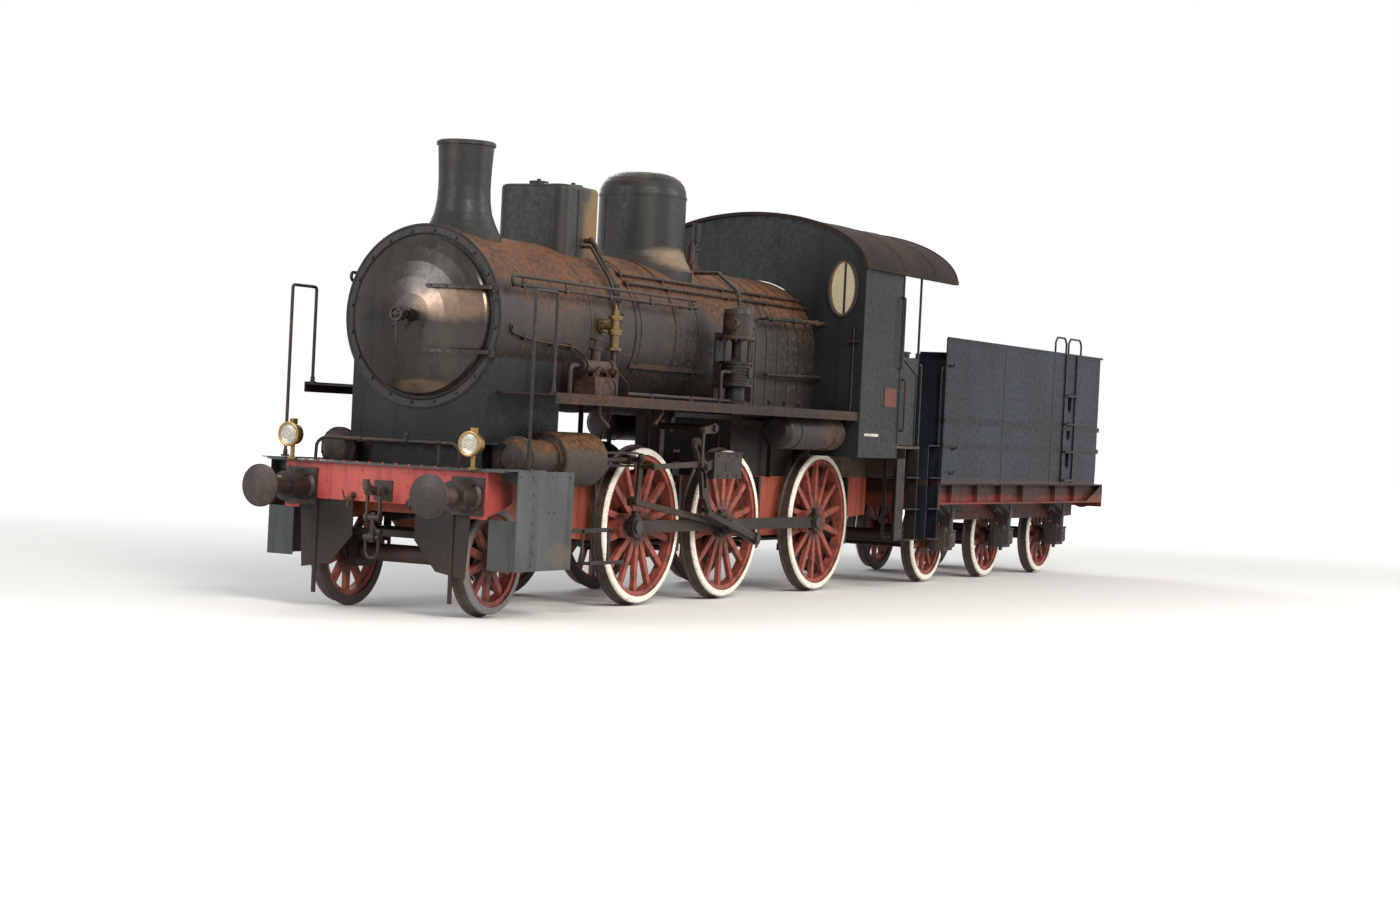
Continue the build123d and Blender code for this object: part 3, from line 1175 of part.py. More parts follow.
# Tender buffers, hook and coupling at the rear.
with BuildPart(BASE) as tender_buffers:
    for sign in (1, -1):
        y = sign * BUFFER_Y
        block(-7870, -7850, y - 165, y + 165, BUFFER_Z - 150, BUFFER_Z + 155)
        turned(
            y,
            BUFFER_Z,
            [
                (-7868, 0), (-7868, 150), (-7900, 128), (-8090, 122), (-8090, 132), (-8115, 132), (-8115, 84),
                (-8450, 84), (-8450, 188), (-8472, 188), (-8486, 150), (-8496, 80), (REAR_FACE, 0),
            ],
        )
    block(-7970, -7850, -28, 28, 1020, 1080)
    block(-7864, -7850, -95, 95, 960, 1140)
    plate(24, 48, [(-7960, 1080), (-8050, 1090), (-8110, 1130), (-8100, 1060), (-8050, 1010), (-7950, 1010)])
    plate(24, 48, [(-8090, 1050), (-8140, 1060), (-8140, 1150), (-8100, 1150)])
hand_in(tender_buffers, "tender_buffers")

# Front footplate with its steps and poles, side ladders, rear ladder, hooks and hoops.
FOOTPLATE_FRONT = -1526.0

with BuildPart(BASE) as tender_fittings:
    block(FOOTPLATE_FRONT, TANK_FRONT + 0.5, -1400, 1400, 1640, 1656)
    ladder(TANK_FRONT + 10, FOOTPLATE_FRONT, 1645)
    for sign in (1, -1):
        block(-1960, TANK_FRONT + 24, sign * 1310, sign * 1372, SILL_LOW, SILL_LOW + 20)
        pole = sign * 1385
        pipe([(-1840, pole, 1650), (-1840, pole, 2560), (TANK_FRONT + 1, pole, 2560)], 14)
        for x in LADDER_X:
            block(x - 24, x + 24, sign * TANK_Y, sign * (TANK_Y + 16), 1230, 2914)
        for z in RUNGS + (1262,):
            block(LADDER_X[0], LADDER_X[1], sign * TANK_Y, sign * (TANK_Y + 50), z - 12, z)
            block(LADDER_X[0], LADDER_X[1], sign * (TANK_Y + 42), sign * (TANK_Y + 50), z, z + 14)
        hoop_y = sign * (TANK_Y - WALL / 2)
        for x0, x1 in ((-6010, -5600), (-6590, -6100)):
            pipe(
                [
                    (x0, hoop_y, 2915), (x0, hoop_y, 3060), (x0 + 70, hoop_y, 3120), (x1 - 70, hoop_y, 3120),
                    (x1, hoop_y, 3060), (x1, hoop_y, 2915),
                ],
                13,
            )
        for x, z in ((-2030, 2590), (-2220, 1620), (-2170, 1330)):
            rod_y(sign * TANK_Y, sign * (TANK_Y + 8), x, z, 26)
            pipe([(x, sign * TANK_Y, z), (x, sign * (TANK_Y + 44), z), (x, sign * (TANK_Y + 44), z + 36)], 9)
    for y in (-1000, -680):
        block(TANK_REAR - 30, TANK_REAR, y - 18, y + 18, 1230, 2880)
    for z in (1500, 1780, 2060, 2340, 2620):
        rod_y(-1000, -680, TANK_REAR - 18, z, 11)
hand_in(tender_fittings, "tender_fittings")

# Water filler lid on the rear deck, hinged at its front edge.
with BuildPart(BASE) as tender_lid:
    rod_z(2832, 2850, -6400, 0, 300)
    rod_y(-80, 80, -6080, 2856, 14)
    block(-6200, -6080, -60, 60, 2850, 2862)
    block(-6740, -6660, -30, 30, 2850, 2875)
hand_in(tender_lid, "tender_lid")

with BuildPart(BASE) as tender_filler:
    rod_z(2760, 2832, -6400, 0, 285)
    rod_z(2755, 2840, -6400, 0, 265, mode=Mode.SUBTRACT)
hand_in(tender_filler, "tender_filler")

# Tender brakes: a shoe and hanger behind each wheel.
with BuildPart(BASE) as tender_brake_gear:
    for axle in TENDER_AXLES[:2]:
        for sign in (1, -1):
            with BuildSketch(side(sign * 760 + 35)):
                with Locations((axle, TENDER_R)):
                    Circle(TENDER_R + 66)
                    Circle(TENDER_R + 12, mode=Mode.SUBTRACT)
                with Locations((axle - TENDER_R, TENDER_R - 30)):
                    Rectangle(300, 300, mode=Mode.INTERSECT)
            extrude(amount=70)
            x = axle - TENDER_R - 62
            block(x - 22, x + 22, sign * 750 - 22, sign * 750 + 22, 380, 1180)
        x = axle - TENDER_R - 62
        rod_y(-770, 770, x, 380, 26)
hand_in(tender_brake_gear, "tender_brake_gear")

for number, axle in enumerate(TENDER_AXLES, start=1):
    with BuildPart(BASE) as wheelset:
        wheel_pair(axle, TENDER_R, 80, 10, 115, (None, None))
        rod_y(-1030, 1030, axle, TENDER_R, 80)
    hand_in(wheelset, f"tender_wheelset_{number}")
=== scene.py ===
import math

import bmesh
import bpy
from mathutils import Matrix, Vector


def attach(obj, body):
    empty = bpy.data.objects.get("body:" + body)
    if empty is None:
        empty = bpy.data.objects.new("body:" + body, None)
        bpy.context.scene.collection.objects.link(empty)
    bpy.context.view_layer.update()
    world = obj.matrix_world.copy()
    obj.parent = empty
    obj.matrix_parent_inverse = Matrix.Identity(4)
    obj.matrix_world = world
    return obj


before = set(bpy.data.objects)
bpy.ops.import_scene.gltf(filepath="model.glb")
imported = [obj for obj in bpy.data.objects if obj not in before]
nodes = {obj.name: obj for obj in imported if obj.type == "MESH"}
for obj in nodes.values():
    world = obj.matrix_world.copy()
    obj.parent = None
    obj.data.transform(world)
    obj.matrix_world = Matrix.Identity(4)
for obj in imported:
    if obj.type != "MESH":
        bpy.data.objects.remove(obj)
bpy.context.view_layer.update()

# Driving sizes, in metres. Lengths count forward from a datum that lies DATUM ahead of the
# origin, and heights from the rail top, which is RAIL above the floor under the flanges.
RAIL = 0.028
DATUM = 0.225
DRIVER_R, LEADER_R, TENDER_R = 0.755, 0.476, 0.507
DRIVER_AXLES = (4.190, 2.400, 0.140)
LEADER_AXLE = 6.850
TENDER_AXLES = (-3.040, -5.015, -7.020)
BOILER_Z = 2.605
BARREL_R, SMOKEBOX_R = 0.785, 0.795
CHECK_VALVE_X = 5.100
DOME_X = 3.020
COMPRESSOR_X, COMPRESSOR_Y = 2.860, 1.080
CHEST_Y, CHEST_Z = 0.950, 1.390
BUFFER_Y, BUFFER_Z = 0.875, 1.050
BEAM_FRONT = 7.400
LAMP_Y, LAMP_Z = 0.950, 1.500
CAB_FRONT, CAB_SIDE = 0.400, 1.360
WINDOW_Y, WINDOW_Z = 1.100, 3.330
TANK_SIDE, SILL_SIDE = 1.420, 1.306
SIDES = (1, -1)
AHEAD, BACK, UP = Vector((1, 0, 0)), Vector((-1, 0, 0)), Vector((0, 0, 1))


def at(x, y, z):
    """A point given forward from the datum and up from the rail top."""
    return Vector((x + DATUM, y, z + RAIL))


def linear(hex_colour):
    """An sRGB hex colour as the linear values that a shader takes."""
    channels = [int(hex_colour[i:i + 2], 16) / 255 for i in (1, 3, 5)]
    return [c / 12.92 if c <= 0.04045 else ((c + 0.055) / 1.055) ** 2.4 for c in channels] + [1.0]


def node(tree, kind, inputs=None, **settings):
    """Adds one node with its settings, its values and its links."""
    made = tree.nodes.new(kind)
    for key, value in settings.items():
        setattr(made, key, value)
    for key, value in (inputs or {}).items():
        if isinstance(value, bpy.types.NodeSocket):
            tree.links.new(value, made.inputs[key])
        else:
            made.inputs[key].default_value = value
    return made


def blank_material(name):
    """A material with only its Principled shader and output."""
    material = bpy.data.materials.new(name)
    material.use_nodes = True
    tree = material.node_tree
    tree.nodes.clear()
    shader = node(tree, "ShaderNodeBsdfPrincipled")
    node(tree, "ShaderNodeOutputMaterial", {"Surface": shader.outputs[0]})
    return material, tree, shader


def mixed(tree, factor, low, high):
    """Colour mix of two colours or sockets."""
    return node(tree, "ShaderNodeMix", {0: factor, 6: low, 7: high}, data_type="RGBA").outputs[2]


def ramped(tree, value, low, high, to_low=0.0, to_high=1.0):
    """A smooth step of a value between two limits."""
    step = node(tree, "ShaderNodeMapRange", {0: value, 1: low, 2: high, 3: to_low, 4: to_high},
                interpolation_type="SMOOTHSTEP")
    return step.outputs[0]


def sums(tree, operation, first, second=0.0):
    """One arithmetic step."""
    return node(tree, "ShaderNodeMath", {0: first, 1: second}, operation=operation).outputs[0]


def weathered(name, coat, worn, rust, *, rusting=0.35, streaks=0.25, dust=0.2, gloss=(0.45, 0.8), metal=0.0,
              dust_hex="#6e6052", rust_dark="#2a1a12", low_grime=0.0, relief=0.3, light_wear=0.0,
              top_rust=0.0, shine=0.25, stains_and_painted_light=()):
    """Old paint on steel: coat, its worn tone, rust in patches, run-down streaks and dust on top.

    A noise's scale is its patches to a metre. Tone varies over a metre or more, rust blooms are
    about half a metre across, specks about 50 mm, and streaks about 100 mm wide and 1.5 m long.
    Grain of a few millimetres is drawn at about 15 mm so that it shows at this distance.
    Each patch is a real stain, a painted highlight or painted shade, ragged: its middle, its half sizes, its
    colour and how much it covers.
    Chalked paint mirrors little of its surroundings, so shine is low on all but the polished parts.
    """
    material, tree, shader = blank_material(name)
    place = node(tree, "ShaderNodeTexCoord").outputs["Object"]
    broad = node(tree, "ShaderNodeTexNoise", {"Vector": place, "Scale": 0.8, "Detail": 3.0, "Roughness": 0.5})
    blooms = node(tree, "ShaderNodeTexNoise", {"Vector": place, "Scale": 2.1, "Detail": 8.0, "Roughness": 0.6,
                                               "Distortion": 0.4})
    specks = node(tree, "ShaderNodeTexNoise", {"Vector": place, "Scale": 19.0, "Detail": 6.0,
                                               "Roughness": 0.62})
    grain = node(tree, "ShaderNodeTexNoise", {"Vector": place, "Scale": 62.0, "Detail": 3.0,
                                              "Roughness": 0.5})
    drawn = node(tree, "ShaderNodeMapping", {"Vector": place, "Scale": (7.0, 7.0, 0.45)})
    runs = node(tree, "ShaderNodeTexNoise", {"Vector": drawn.outputs[0], "Scale": 1.5, "Detail": 6.0,
                                             "Roughness": 0.6})
    facing = node(tree, "ShaderNodeSeparateXYZ", {0: node(tree, "ShaderNodeNewGeometry").outputs["Normal"]})
    upward = ramped(tree, facing.outputs["Z"], 0.35, 0.95)

    # The coat, paler where it has worn and where water runs down, and dark in the old runs.
    tone = mixed(tree, ramped(tree, broad.outputs[0], 0.35, 0.68), linear(coat), linear(worn))
    pale_run = sums(tree, "MULTIPLY", ramped(tree, runs.outputs[0], 0.5, 0.74), streaks)
    tone = mixed(tree, pale_run, tone, linear(worn))
    dark_run = sums(tree, "MULTIPLY", ramped(tree, runs.outputs[0], 0.5, 0.3), streaks * 1.2)
    tone = mixed(tree, dark_run, tone, linear("#100f0e"))

    # Rust in blooms and specks, drawn out along the runs and thicker where the sheet faces up.
    edge = 0.72 - 0.42 * rusting
    patchy = sums(tree, "ADD", sums(tree, "MULTIPLY", blooms.outputs[0], 0.6),
                  sums(tree, "MULTIPLY", broad.outputs[0], 0.4))
    run_lift = sums(tree, "MULTIPLY", sums(tree, "SUBTRACT", runs.outputs[0], 0.5), 0.3)
    patchy = sums(tree, "ADD", patchy, run_lift)
    if top_rust:
        lift = ramped(tree, facing.outputs["Z"], -0.35, 1.0, -0.5, 0.5)
        patchy = sums(tree, "ADD", patchy, sums(tree, "MULTIPLY", lift, top_rust))
    rusted = ramped(tree, patchy, edge - 0.07, edge + 0.13)
    fine_rust = ramped(tree, specks.outputs[0], edge + 0.02, edge + 0.14)
    rust_mask = sums(tree, "MAXIMUM", sums(tree, "MULTIPLY", rusted, min(0.92, 0.35 + rusting)),
                     sums(tree, "MULTIPLY", fine_rust, 0.35 * min(1.0, rusting * 2.0)))
    rust_tone = mixed(tree, ramped(tree, specks.outputs[0], 0.32, 0.7), linear(rust_dark), linear(rust))
    colour = mixed(tree, rust_mask, tone, rust_tone)

    # Dust on what faces up, then the stains and the painted highlights and shade, light scuffs and grime near
    # the ground.
    dusty = sums(tree, "MULTIPLY", upward, ramped(tree, blooms.outputs[0], 0.3, 0.7))
    colour = mixed(tree, sums(tree, "MULTIPLY", dusty, dust), colour, linear(dust_hex))
    for middle, half_size, patch_hex, share in stains_and_painted_light:
        offset = node(tree, "ShaderNodeVectorMath", {0: place, 1: at(*middle)}, operation="SUBTRACT")
        shrunk = node(tree, "ShaderNodeVectorMath", {0: offset.outputs[0], 1: half_size}, operation="DIVIDE")
        away = node(tree, "ShaderNodeVectorMath", {0: shrunk.outputs[0]}, operation="LENGTH").outputs["Value"]
        fray = sums(tree, "MULTIPLY", sums(tree, "SUBTRACT", blooms.outputs[0], 0.5), 1.4)
        cover = sums(tree, "MULTIPLY", ramped(tree, sums(tree, "ADD", away, fray), 1.15, 0.55), share)
        colour = mixed(tree, cover, colour, linear(patch_hex))
    if light_wear:
        scuffs = sums(tree, "MULTIPLY", ramped(tree, specks.outputs[0], 0.62, 0.72), light_wear)
        colour = mixed(tree, scuffs, colour, linear("#8c8578"))
    if low_grime:
        height = node(tree, "ShaderNodeSeparateXYZ", {0: place}).outputs["Z"]
        low = sums(tree, "MULTIPLY", ramped(tree, height, 1.1, 0.1), low_grime)
        colour = mixed(tree, low, colour, linear("#43342a"))
    tree.links.new(colour, shader.inputs["Base Color"])

    # Rust is matt and stands proud; clean paint keeps some of its gloss, bare metal its mirror.
    matt = sums(tree, "MAXIMUM", rust_mask, ramped(tree, specks.outputs[0], 0.3, 0.9))
    rough = node(tree, "ShaderNodeMapRange", {0: matt, 3: gloss[0], 4: gloss[1]})
    tree.links.new(rough.outputs[0], shader.inputs["Roughness"])
    shader.inputs["Specular IOR Level"].default_value = shine
    if metal:
        bare = sums(tree, "MULTIPLY", sums(tree, "SUBTRACT", 1.0, rust_mask), metal)
        tree.links.new(bare, shader.inputs["Metallic"])
    height = sums(tree, "ADD", sums(tree, "MULTIPLY", grain.outputs[0], 0.35),
                  sums(tree, "MULTIPLY", rust_mask, specks.outputs[0]))
    bump = node(tree, "ShaderNodeBump", {"Height": height, "Strength": relief, "Distance": 0.004})
    tree.links.new(bump.outputs[0], shader.inputs["Normal"])
    return material


# Heat-dulled boiler black, turned brown by rust that is thickest along the top.
boiler_rust = weathered("boiler_black_rusting_brown", "#1d1b19", "#292420", "#664129", rusting=0.5,
                        streaks=0.5, dust=0.55, gloss=(0.4, 0.8), dust_hex="#6e4a2e", top_rust=0.4, shine=0.3,
                        stains_and_painted_light=(((7.05, 0.0, 2.605), (0.16, 2.4, 2.4), "#1b1a19", 0.85),))
# Graphite polish on pressed steel: darker and smoother than paint, with a metallic sheen.
# Its upper half carries a painted warm highlight and its lower half a painted dark reflection.
door_graphite_painted_reflection = weathered("graphite_steel_painted_reflection", "#302d2b", "#443e39", "#4a372b", rusting=0.12,
                          streaks=0.25, dust=0.05, gloss=(0.2, 0.38), metal=0.75, relief=0.05,
                          light_wear=0.05, shine=0.5,
                          stains_and_painted_light=(((7.05, 0.42, 2.72), (0.3, 0.42, 0.16), "#8c7361", 0.6),
                                  ((7.05, -0.25, 2.35), (0.4, 0.5, 0.42), "#1c1a19", 0.6),
                                  ((7.0, 0.1, 1.98), (0.2, 0.3, 0.07), "#6a5646", 0.6)))
# Brushed-on black enamel, chalky where it has weathered, with rust bleeding through at the top.
sheet_black = weathered("weathered_black_enamel", "#17181a", "#222426", "#55392a", rusting=0.2, streaks=0.5,
                        dust=0.2, gloss=(0.36, 0.7), relief=0.12, top_rust=0.1, shine=0.16)
# The same enamel on cast fittings, sooty, with dry oil and sand dust in yellow-brown patches.
fitting_black = weathered("sooty_black_enamel", "#1b1b1b", "#292724", "#5a3d2a", rusting=0.28, streaks=0.55,
                          dust=0.35, gloss=(0.36, 0.7), relief=0.15,
                          stains_and_painted_light=(((4.62, 0.40, 3.72), (0.26, 0.25, 0.34), "#6b5a38", 0.8),
                                  ((4.66, 0.40, 3.52), (0.2, 0.2, 0.36), "#6e4a2a", 0.6),
                                  ((3.02, 0.45, 3.42), (0.5, 0.35, 0.12), "#7d6a54", 0.7)))
# Bluish tender enamel: cleaner and flatter than the boiler, with dark bands painted along the seam strips.
tender_black = weathered("weathered_tender_black", "#15181d", "#20252c", "#47342a", rusting=0.1, streaks=0.6,
                         dust=0.2, gloss=(0.36, 0.66), relief=0.1, shine=0.13,
                         stains_and_painted_light=(((-4.7, 1.42, 1.95), (9.0, 0.2, 0.055), "#0e0f11", 0.8),
                                 ((-4.7, 1.42, 1.655), (9.0, 0.2, 0.045), "#0e0f11", 0.7),
                                 ((-4.7, 1.42, 1.215), (9.0, 0.2, 0.05), "#3b2a20", 0.7)))
# Tarred roof felt: brownish black without gloss, so that the arch reads soft.
roof_brown = weathered("sooty_roof_felt_black", "#1b1715", "#2c2420", "#4b3325", rusting=0.42, streaks=0.2,
                       dust=0.2, gloss=(0.65, 0.95), dust_hex="#46372c", shine=0.12)
# Underframe black thick with grease and brake dust.
frame_black = weathered("greasy_underframe_black", "#151312", "#231e1a", "#46301f", rusting=0.38, streaks=0.2,
                        dust=0.25, gloss=(0.42, 0.8), low_grime=0.35)
# Signal red enamel, faded towards pink, with dull rust bleeding through.
beam_red = weathered("faded_signal_red_enamel", "#93302d", "#a84f48", "#4b261d", rusting=0.24, streaks=0.4,
                     dust=0.2, gloss=(0.4, 0.7), relief=0.12, rust_dark="#2c1712", shine=0.35)
# The same enamel on the tender sill, dull brick, with painted shade on its upper web under the tank, and
# black with brake dust below it.
sill_red_painted_shade = weathered("dull_sill_red_painted_shade", "#702b23", "#5e2f26", "#3c241a", rusting=0.4, streaks=0.35,
                     dust=0.3, gloss=(0.5, 0.8), dust_hex="#a04c3a",
                     stains_and_painted_light=(((-4.9, 0.0, 1.14), (12.0, 3.5, 0.11), "#1d1310", 0.85),
                             ((-4.9, 0.0, 0.30), (14.0, 4.0, 0.66), "#1e1a17", 0.95)))
# Chalked dark grey plate paint without much gloss, with light scuffs all over.
apron_grey = weathered("chalky_grey_plate_paint", "#2e3233", "#3e4241", "#46362c", rusting=0.2, streaks=0.5,
                       dust=0.2, gloss=(0.45, 0.75), light_wear=0.14, shine=0.45,
                       stains_and_painted_light=(((6.98, 1.31, 0.75), (0.05, 0.2, 0.6), "#2a2724", 0.6),
                               ((6.55, 1.31, 0.55), (0.3, 0.2, 0.12), "#4f4234", 0.6)))
# Cast iron under old grease: near black, with a low wet gloss between brown patches.
buffer_iron = weathered("greased_cast_iron", "#211d1b", "#302925", "#513a2b", rusting=0.45, streaks=0.15,
                        dust=0.25, gloss=(0.36, 0.7), metal=0.25, shine=0.45)
# Frame red under soot and oil: dull brick, browner towards the ground.
frame_red = weathered("grimy_frame_red_enamel", "#8f4534", "#74362a", "#3a261c", rusting=0.36, streaks=0.35,
                      dust=0.25, gloss=(0.5, 0.85), low_grime=0.3, rust_dark="#1d1512")
# Spring steel and box castings dry with road dust: the palest grey of the running gear.
spring_iron = weathered("dusty_spring_iron", "#34322f", "#47433e", "#54402f", rusting=0.32, streaks=0.2,
                        dust=0.35, gloss=(0.5, 0.85))
# Red oxide primer on a bare plate: flat and brownish.
red_plate = weathered("rust_red_oxide_paint", "#5c3128", "#4a2a22", "#3a241a", rusting=0.3, gloss=(0.5, 0.8))
# Lime-white paint, chalked to a warm grey.
label_white = weathered("chalked_white_paint", "#b9b4a8", "#98928a", "#6e5a48", rusting=0.2, gloss=(0.5, 0.8))
# Forged rods, oiled and dusty: dark brown steel that still catches a line of light.
rod_steel = weathered("oily_forged_steel", "#1f1b18", "#332b26", "#4a3526", rusting=0.42, streaks=0.1,
                      dust=0.4, gloss=(0.34, 0.7), metal=0.4)
# Drawn iron pipe with thin black paint, gone brown in patches.
pipe_iron = weathered("painted_pipe_iron", "#191817", "#262220", "#593d2c", rusting=0.45, streaks=0.1,
                      dust=0.35, gloss=(0.36, 0.72))
# Footplate edge: black paint trodden and chipped down to dark rust.
board_rust = weathered("rusty_footplate_edge", "#1f1917", "#2c231e", "#553523", rusting=0.46, streaks=0.3,
                       dust=0.3, gloss=(0.5, 0.85), shine=0.18)
# Cast iron with heat scale: grey-brown, with orange rust at the rear end.
chest_rust = weathered("scaling_rust_on_cast_iron", "#282420", "#373029", "#6b4529", rusting=0.5, streaks=0.5,
                       dust=0.35, gloss=(0.45, 0.8), dust_hex="#69543f", top_rust=0.3, shine=0.2,
                       stains_and_painted_light=(((5.42, 0.95, 1.45), (0.10, 0.5, 0.3), "#7a4726", 0.6),
                               ((2.2, 1.1, 1.50), (0.5, 0.4, 0.10), "#6d5a3e", 0.5)))
# Spun brass left to tarnish: olive brown with a soft metal gleam.
brass = weathered("tarnished_brass", "#8a7040", "#6a5932", "#3f351f", rusting=0.4, streaks=0.1, dust=0.1,
                  gloss=(0.25, 0.55), metal=0.9, rust_dark="#2c2517")
# Turned brass rubbed by hand: paler and brighter than the spun brass beside it.
bright_brass = weathered("hand_rubbed_brass", "#9c7f52", "#75603f", "#4a3a26", rusting=0.4, streaks=0.1,
                         dust=0.1, gloss=(0.28, 0.55), metal=0.8, rust_dark="#2f271a")
# Silver-plated reflector bowl behind the lamp glass: bright and nearly a mirror.
silvered = weathered("silvered_reflector", "#c9c7c0", "#b3b0a8", "#8a8378", rusting=0.1, streaks=0.0,
                     dust=0.0, gloss=(0.12, 0.3), metal=0.95, relief=0.02)
# Soft copper tube gone brown, with a reddish gleam on its bends.
copper = weathered("browned_copper_tube", "#5e3a28", "#4a3226", "#2e3a30", rusting=0.3, gloss=(0.3, 0.6),
                   metal=0.7)
# White vitreous enamel of the gauge faces: smooth, yellowed a little.
dial_white = weathered("enamelled_dial", "#cfccc2", "#bdb8aa", "#8f8672", rusting=0.08, gloss=(0.2, 0.4),
                       relief=0.02)
# Olive oil paint inside the cab, dulled by coal smoke.
cab_inside = weathered("cab_inside_paint", "#34352e", "#292923", "#46301f", rusting=0.3, streaks=0.4)


def plank_wood(name, light, dark):
    """Hardwood with its grain lengthways, worn paler in patches of about 300 mm.

    Grain lines are a few millimetres apart and are drawn at about 20 mm so that they show.
    """
    material, tree, shader = blank_material(name)
    place = node(tree, "ShaderNodeTexCoord").outputs["Object"]
    drawn = node(tree, "ShaderNodeMapping", {"Vector": place, "Scale": (0.6, 9.0, 9.0)})
    grain = node(tree, "ShaderNodeTexNoise", {"Vector": drawn.outputs[0], "Scale": 6.0, "Detail": 8.0,
                                              "Roughness": 0.65, "Distortion": 0.5})
    wear = node(tree, "ShaderNodeTexNoise", {"Vector": place, "Scale": 3.0, "Detail": 4.0})
    tone = mixed(tree, ramped(tree, grain.outputs[0], 0.38, 0.62), linear(dark), linear(light))
    pale = sums(tree, "MULTIPLY", ramped(tree, wear.outputs[0], 0.5, 0.7), 0.5)
    tree.links.new(mixed(tree, pale, tone, linear("#6f6252")), shader.inputs["Base Color"])
    shader.inputs["Roughness"].default_value = 0.7
    bump = node(tree, "ShaderNodeBump", {"Height": grain.outputs[0], "Strength": 0.25, "Distance": 0.002})
    tree.links.new(bump.outputs[0], shader.inputs["Normal"])
    return material


# Oiled floor boards, dark with coal dust, and varnished sash wood, redder and lighter.
floor_wood = plank_wood("oiled_floor_boards", "#4a3a2c", "#2b2019")
frame_wood = plank_wood("varnished_window_wood", "#6b4a30", "#45301f")


def wheel_paint(name, axle, tread, ring_hex="#ded8cc", ring_dirt="#8f7f6c"):
    """Brick red wheel paint with the ring painted on the tyre's outer face.

    The ring runs from the tyre's inner edge to the tread. The tread, the flange and the pins
    that stand out beyond the hub are worn steel.
    """
    tyre_edge, ring_edge = tread - 0.0655, tread - 0.0025
    inner_face, outer_face, pin_root = 0.70, 0.797, 0.836
    material, tree, shader = blank_material(name)
    place = node(tree, "ShaderNodeTexCoord").outputs["Object"]
    centred = node(tree, "ShaderNodeMapping", {"Vector": place, "Location": -at(axle, 0.0, tread)})
    flat = node(tree, "ShaderNodeVectorMath", {0: centred.outputs[0], 1: (1.0, 0.0, 1.0)},
                operation="MULTIPLY")
    radius = node(tree, "ShaderNodeVectorMath", {0: flat.outputs[0]}, operation="LENGTH").outputs["Value"]
    across = sums(tree, "ABSOLUTE", node(tree, "ShaderNodeSeparateXYZ", {0: place}).outputs["Y"])
    blooms = node(tree, "ShaderNodeTexNoise", {"Vector": place, "Scale": 9.0, "Detail": 8.0,
                                               "Roughness": 0.65})
    specks = node(tree, "ShaderNodeTexNoise", {"Vector": place, "Scale": 45.0, "Detail": 4.0})

    # Red paint with oily dirt in patches and round the hub.
    red = mixed(tree, ramped(tree, blooms.outputs[0], 0.35, 0.65), linear("#8f4538"), linear("#78372c"))
    dirt = sums(tree, "MULTIPLY", ramped(tree, blooms.outputs[0], 0.48, 0.66), 0.75)
    red = mixed(tree, dirt, red, linear("#3a251c"))
    hub = sums(tree, "MULTIPLY", ramped(tree, radius, 0.30, 0.12), 0.7)
    red = mixed(tree, hub, red, linear("#221a16"))

    # Worn steel of the tyre, and the ring painted on its outer face.
    steel = mixed(tree, ramped(tree, blooms.outputs[0], 0.4, 0.6), linear("#43332a"), linear("#2f241e"))
    on_tyre = sums(tree, "GREATER_THAN", radius, tyre_edge)
    colour = mixed(tree, on_tyre, red, steel)
    smudges = sums(tree, "MULTIPLY", ramped(tree, specks.outputs[0], 0.52, 0.66), 0.7)
    white = mixed(tree, smudges, linear(ring_hex), linear(ring_dirt))
    ring = sums(tree, "MULTIPLY", on_tyre, sums(tree, "GREATER_THAN", across, outer_face))
    ring = sums(tree, "MULTIPLY", ring, sums(tree, "LESS_THAN", radius, ring_edge))
    colour = mixed(tree, ring, colour, white)

    # Steel pins outside the hub, and a darker tone on all that lies inboard of the wheel's inner face.
    colour = mixed(tree, sums(tree, "GREATER_THAN", across, pin_root), colour, linear("#2b2623"))
    inside = sums(tree, "MULTIPLY", sums(tree, "LESS_THAN", across, inner_face), 0.7)
    tree.links.new(mixed(tree, inside, colour, linear("#2c201a")), shader.inputs["Base Color"])
    shader.inputs["Roughness"].default_value = 0.62
    bump = node(tree, "ShaderNodeBump", {"Height": specks.outputs[0], "Strength": 0.3, "Distance": 0.003})
    tree.links.new(bump.outputs[0], shader.inputs["Normal"])
    return material


def clear_glass(name, tint, rough):
    """Flat or pressed glass with a film of dirt that dulls its shine in patches of about 50 mm."""
    material, tree, shader = blank_material(name)
    shader.inputs["Base Color"].default_value = linear(tint)
    shader.inputs["Transmission Weight"].default_value = 0.85
    shader.inputs["IOR"].default_value = 1.5
    place = node(tree, "ShaderNodeTexCoord").outputs["Object"]
    film = node(tree, "ShaderNodeTexNoise", {"Vector": place, "Scale": 18.0, "Detail": 5.0})
    haze = node(tree, "ShaderNodeMapRange", {0: film.outputs[0], 3: rough, 4: rough + 0.3})
    tree.links.new(haze.outputs[0], shader.inputs["Roughness"])
    return material


# Pressed lamp glass, almost clear, and cab glass yellowed by smoke.
lamp_glass = clear_glass("pressed_lamp_glass", "#e9e6da", 0.08)
window_glass = clear_glass("cab_window_glass", "#b9ad92", 0.05)


def paint(name, finish):
    """Gives a node of the solid model its one finish."""
    mesh = nodes[name].data
    mesh.materials.clear()
    mesh.materials.append(finish)


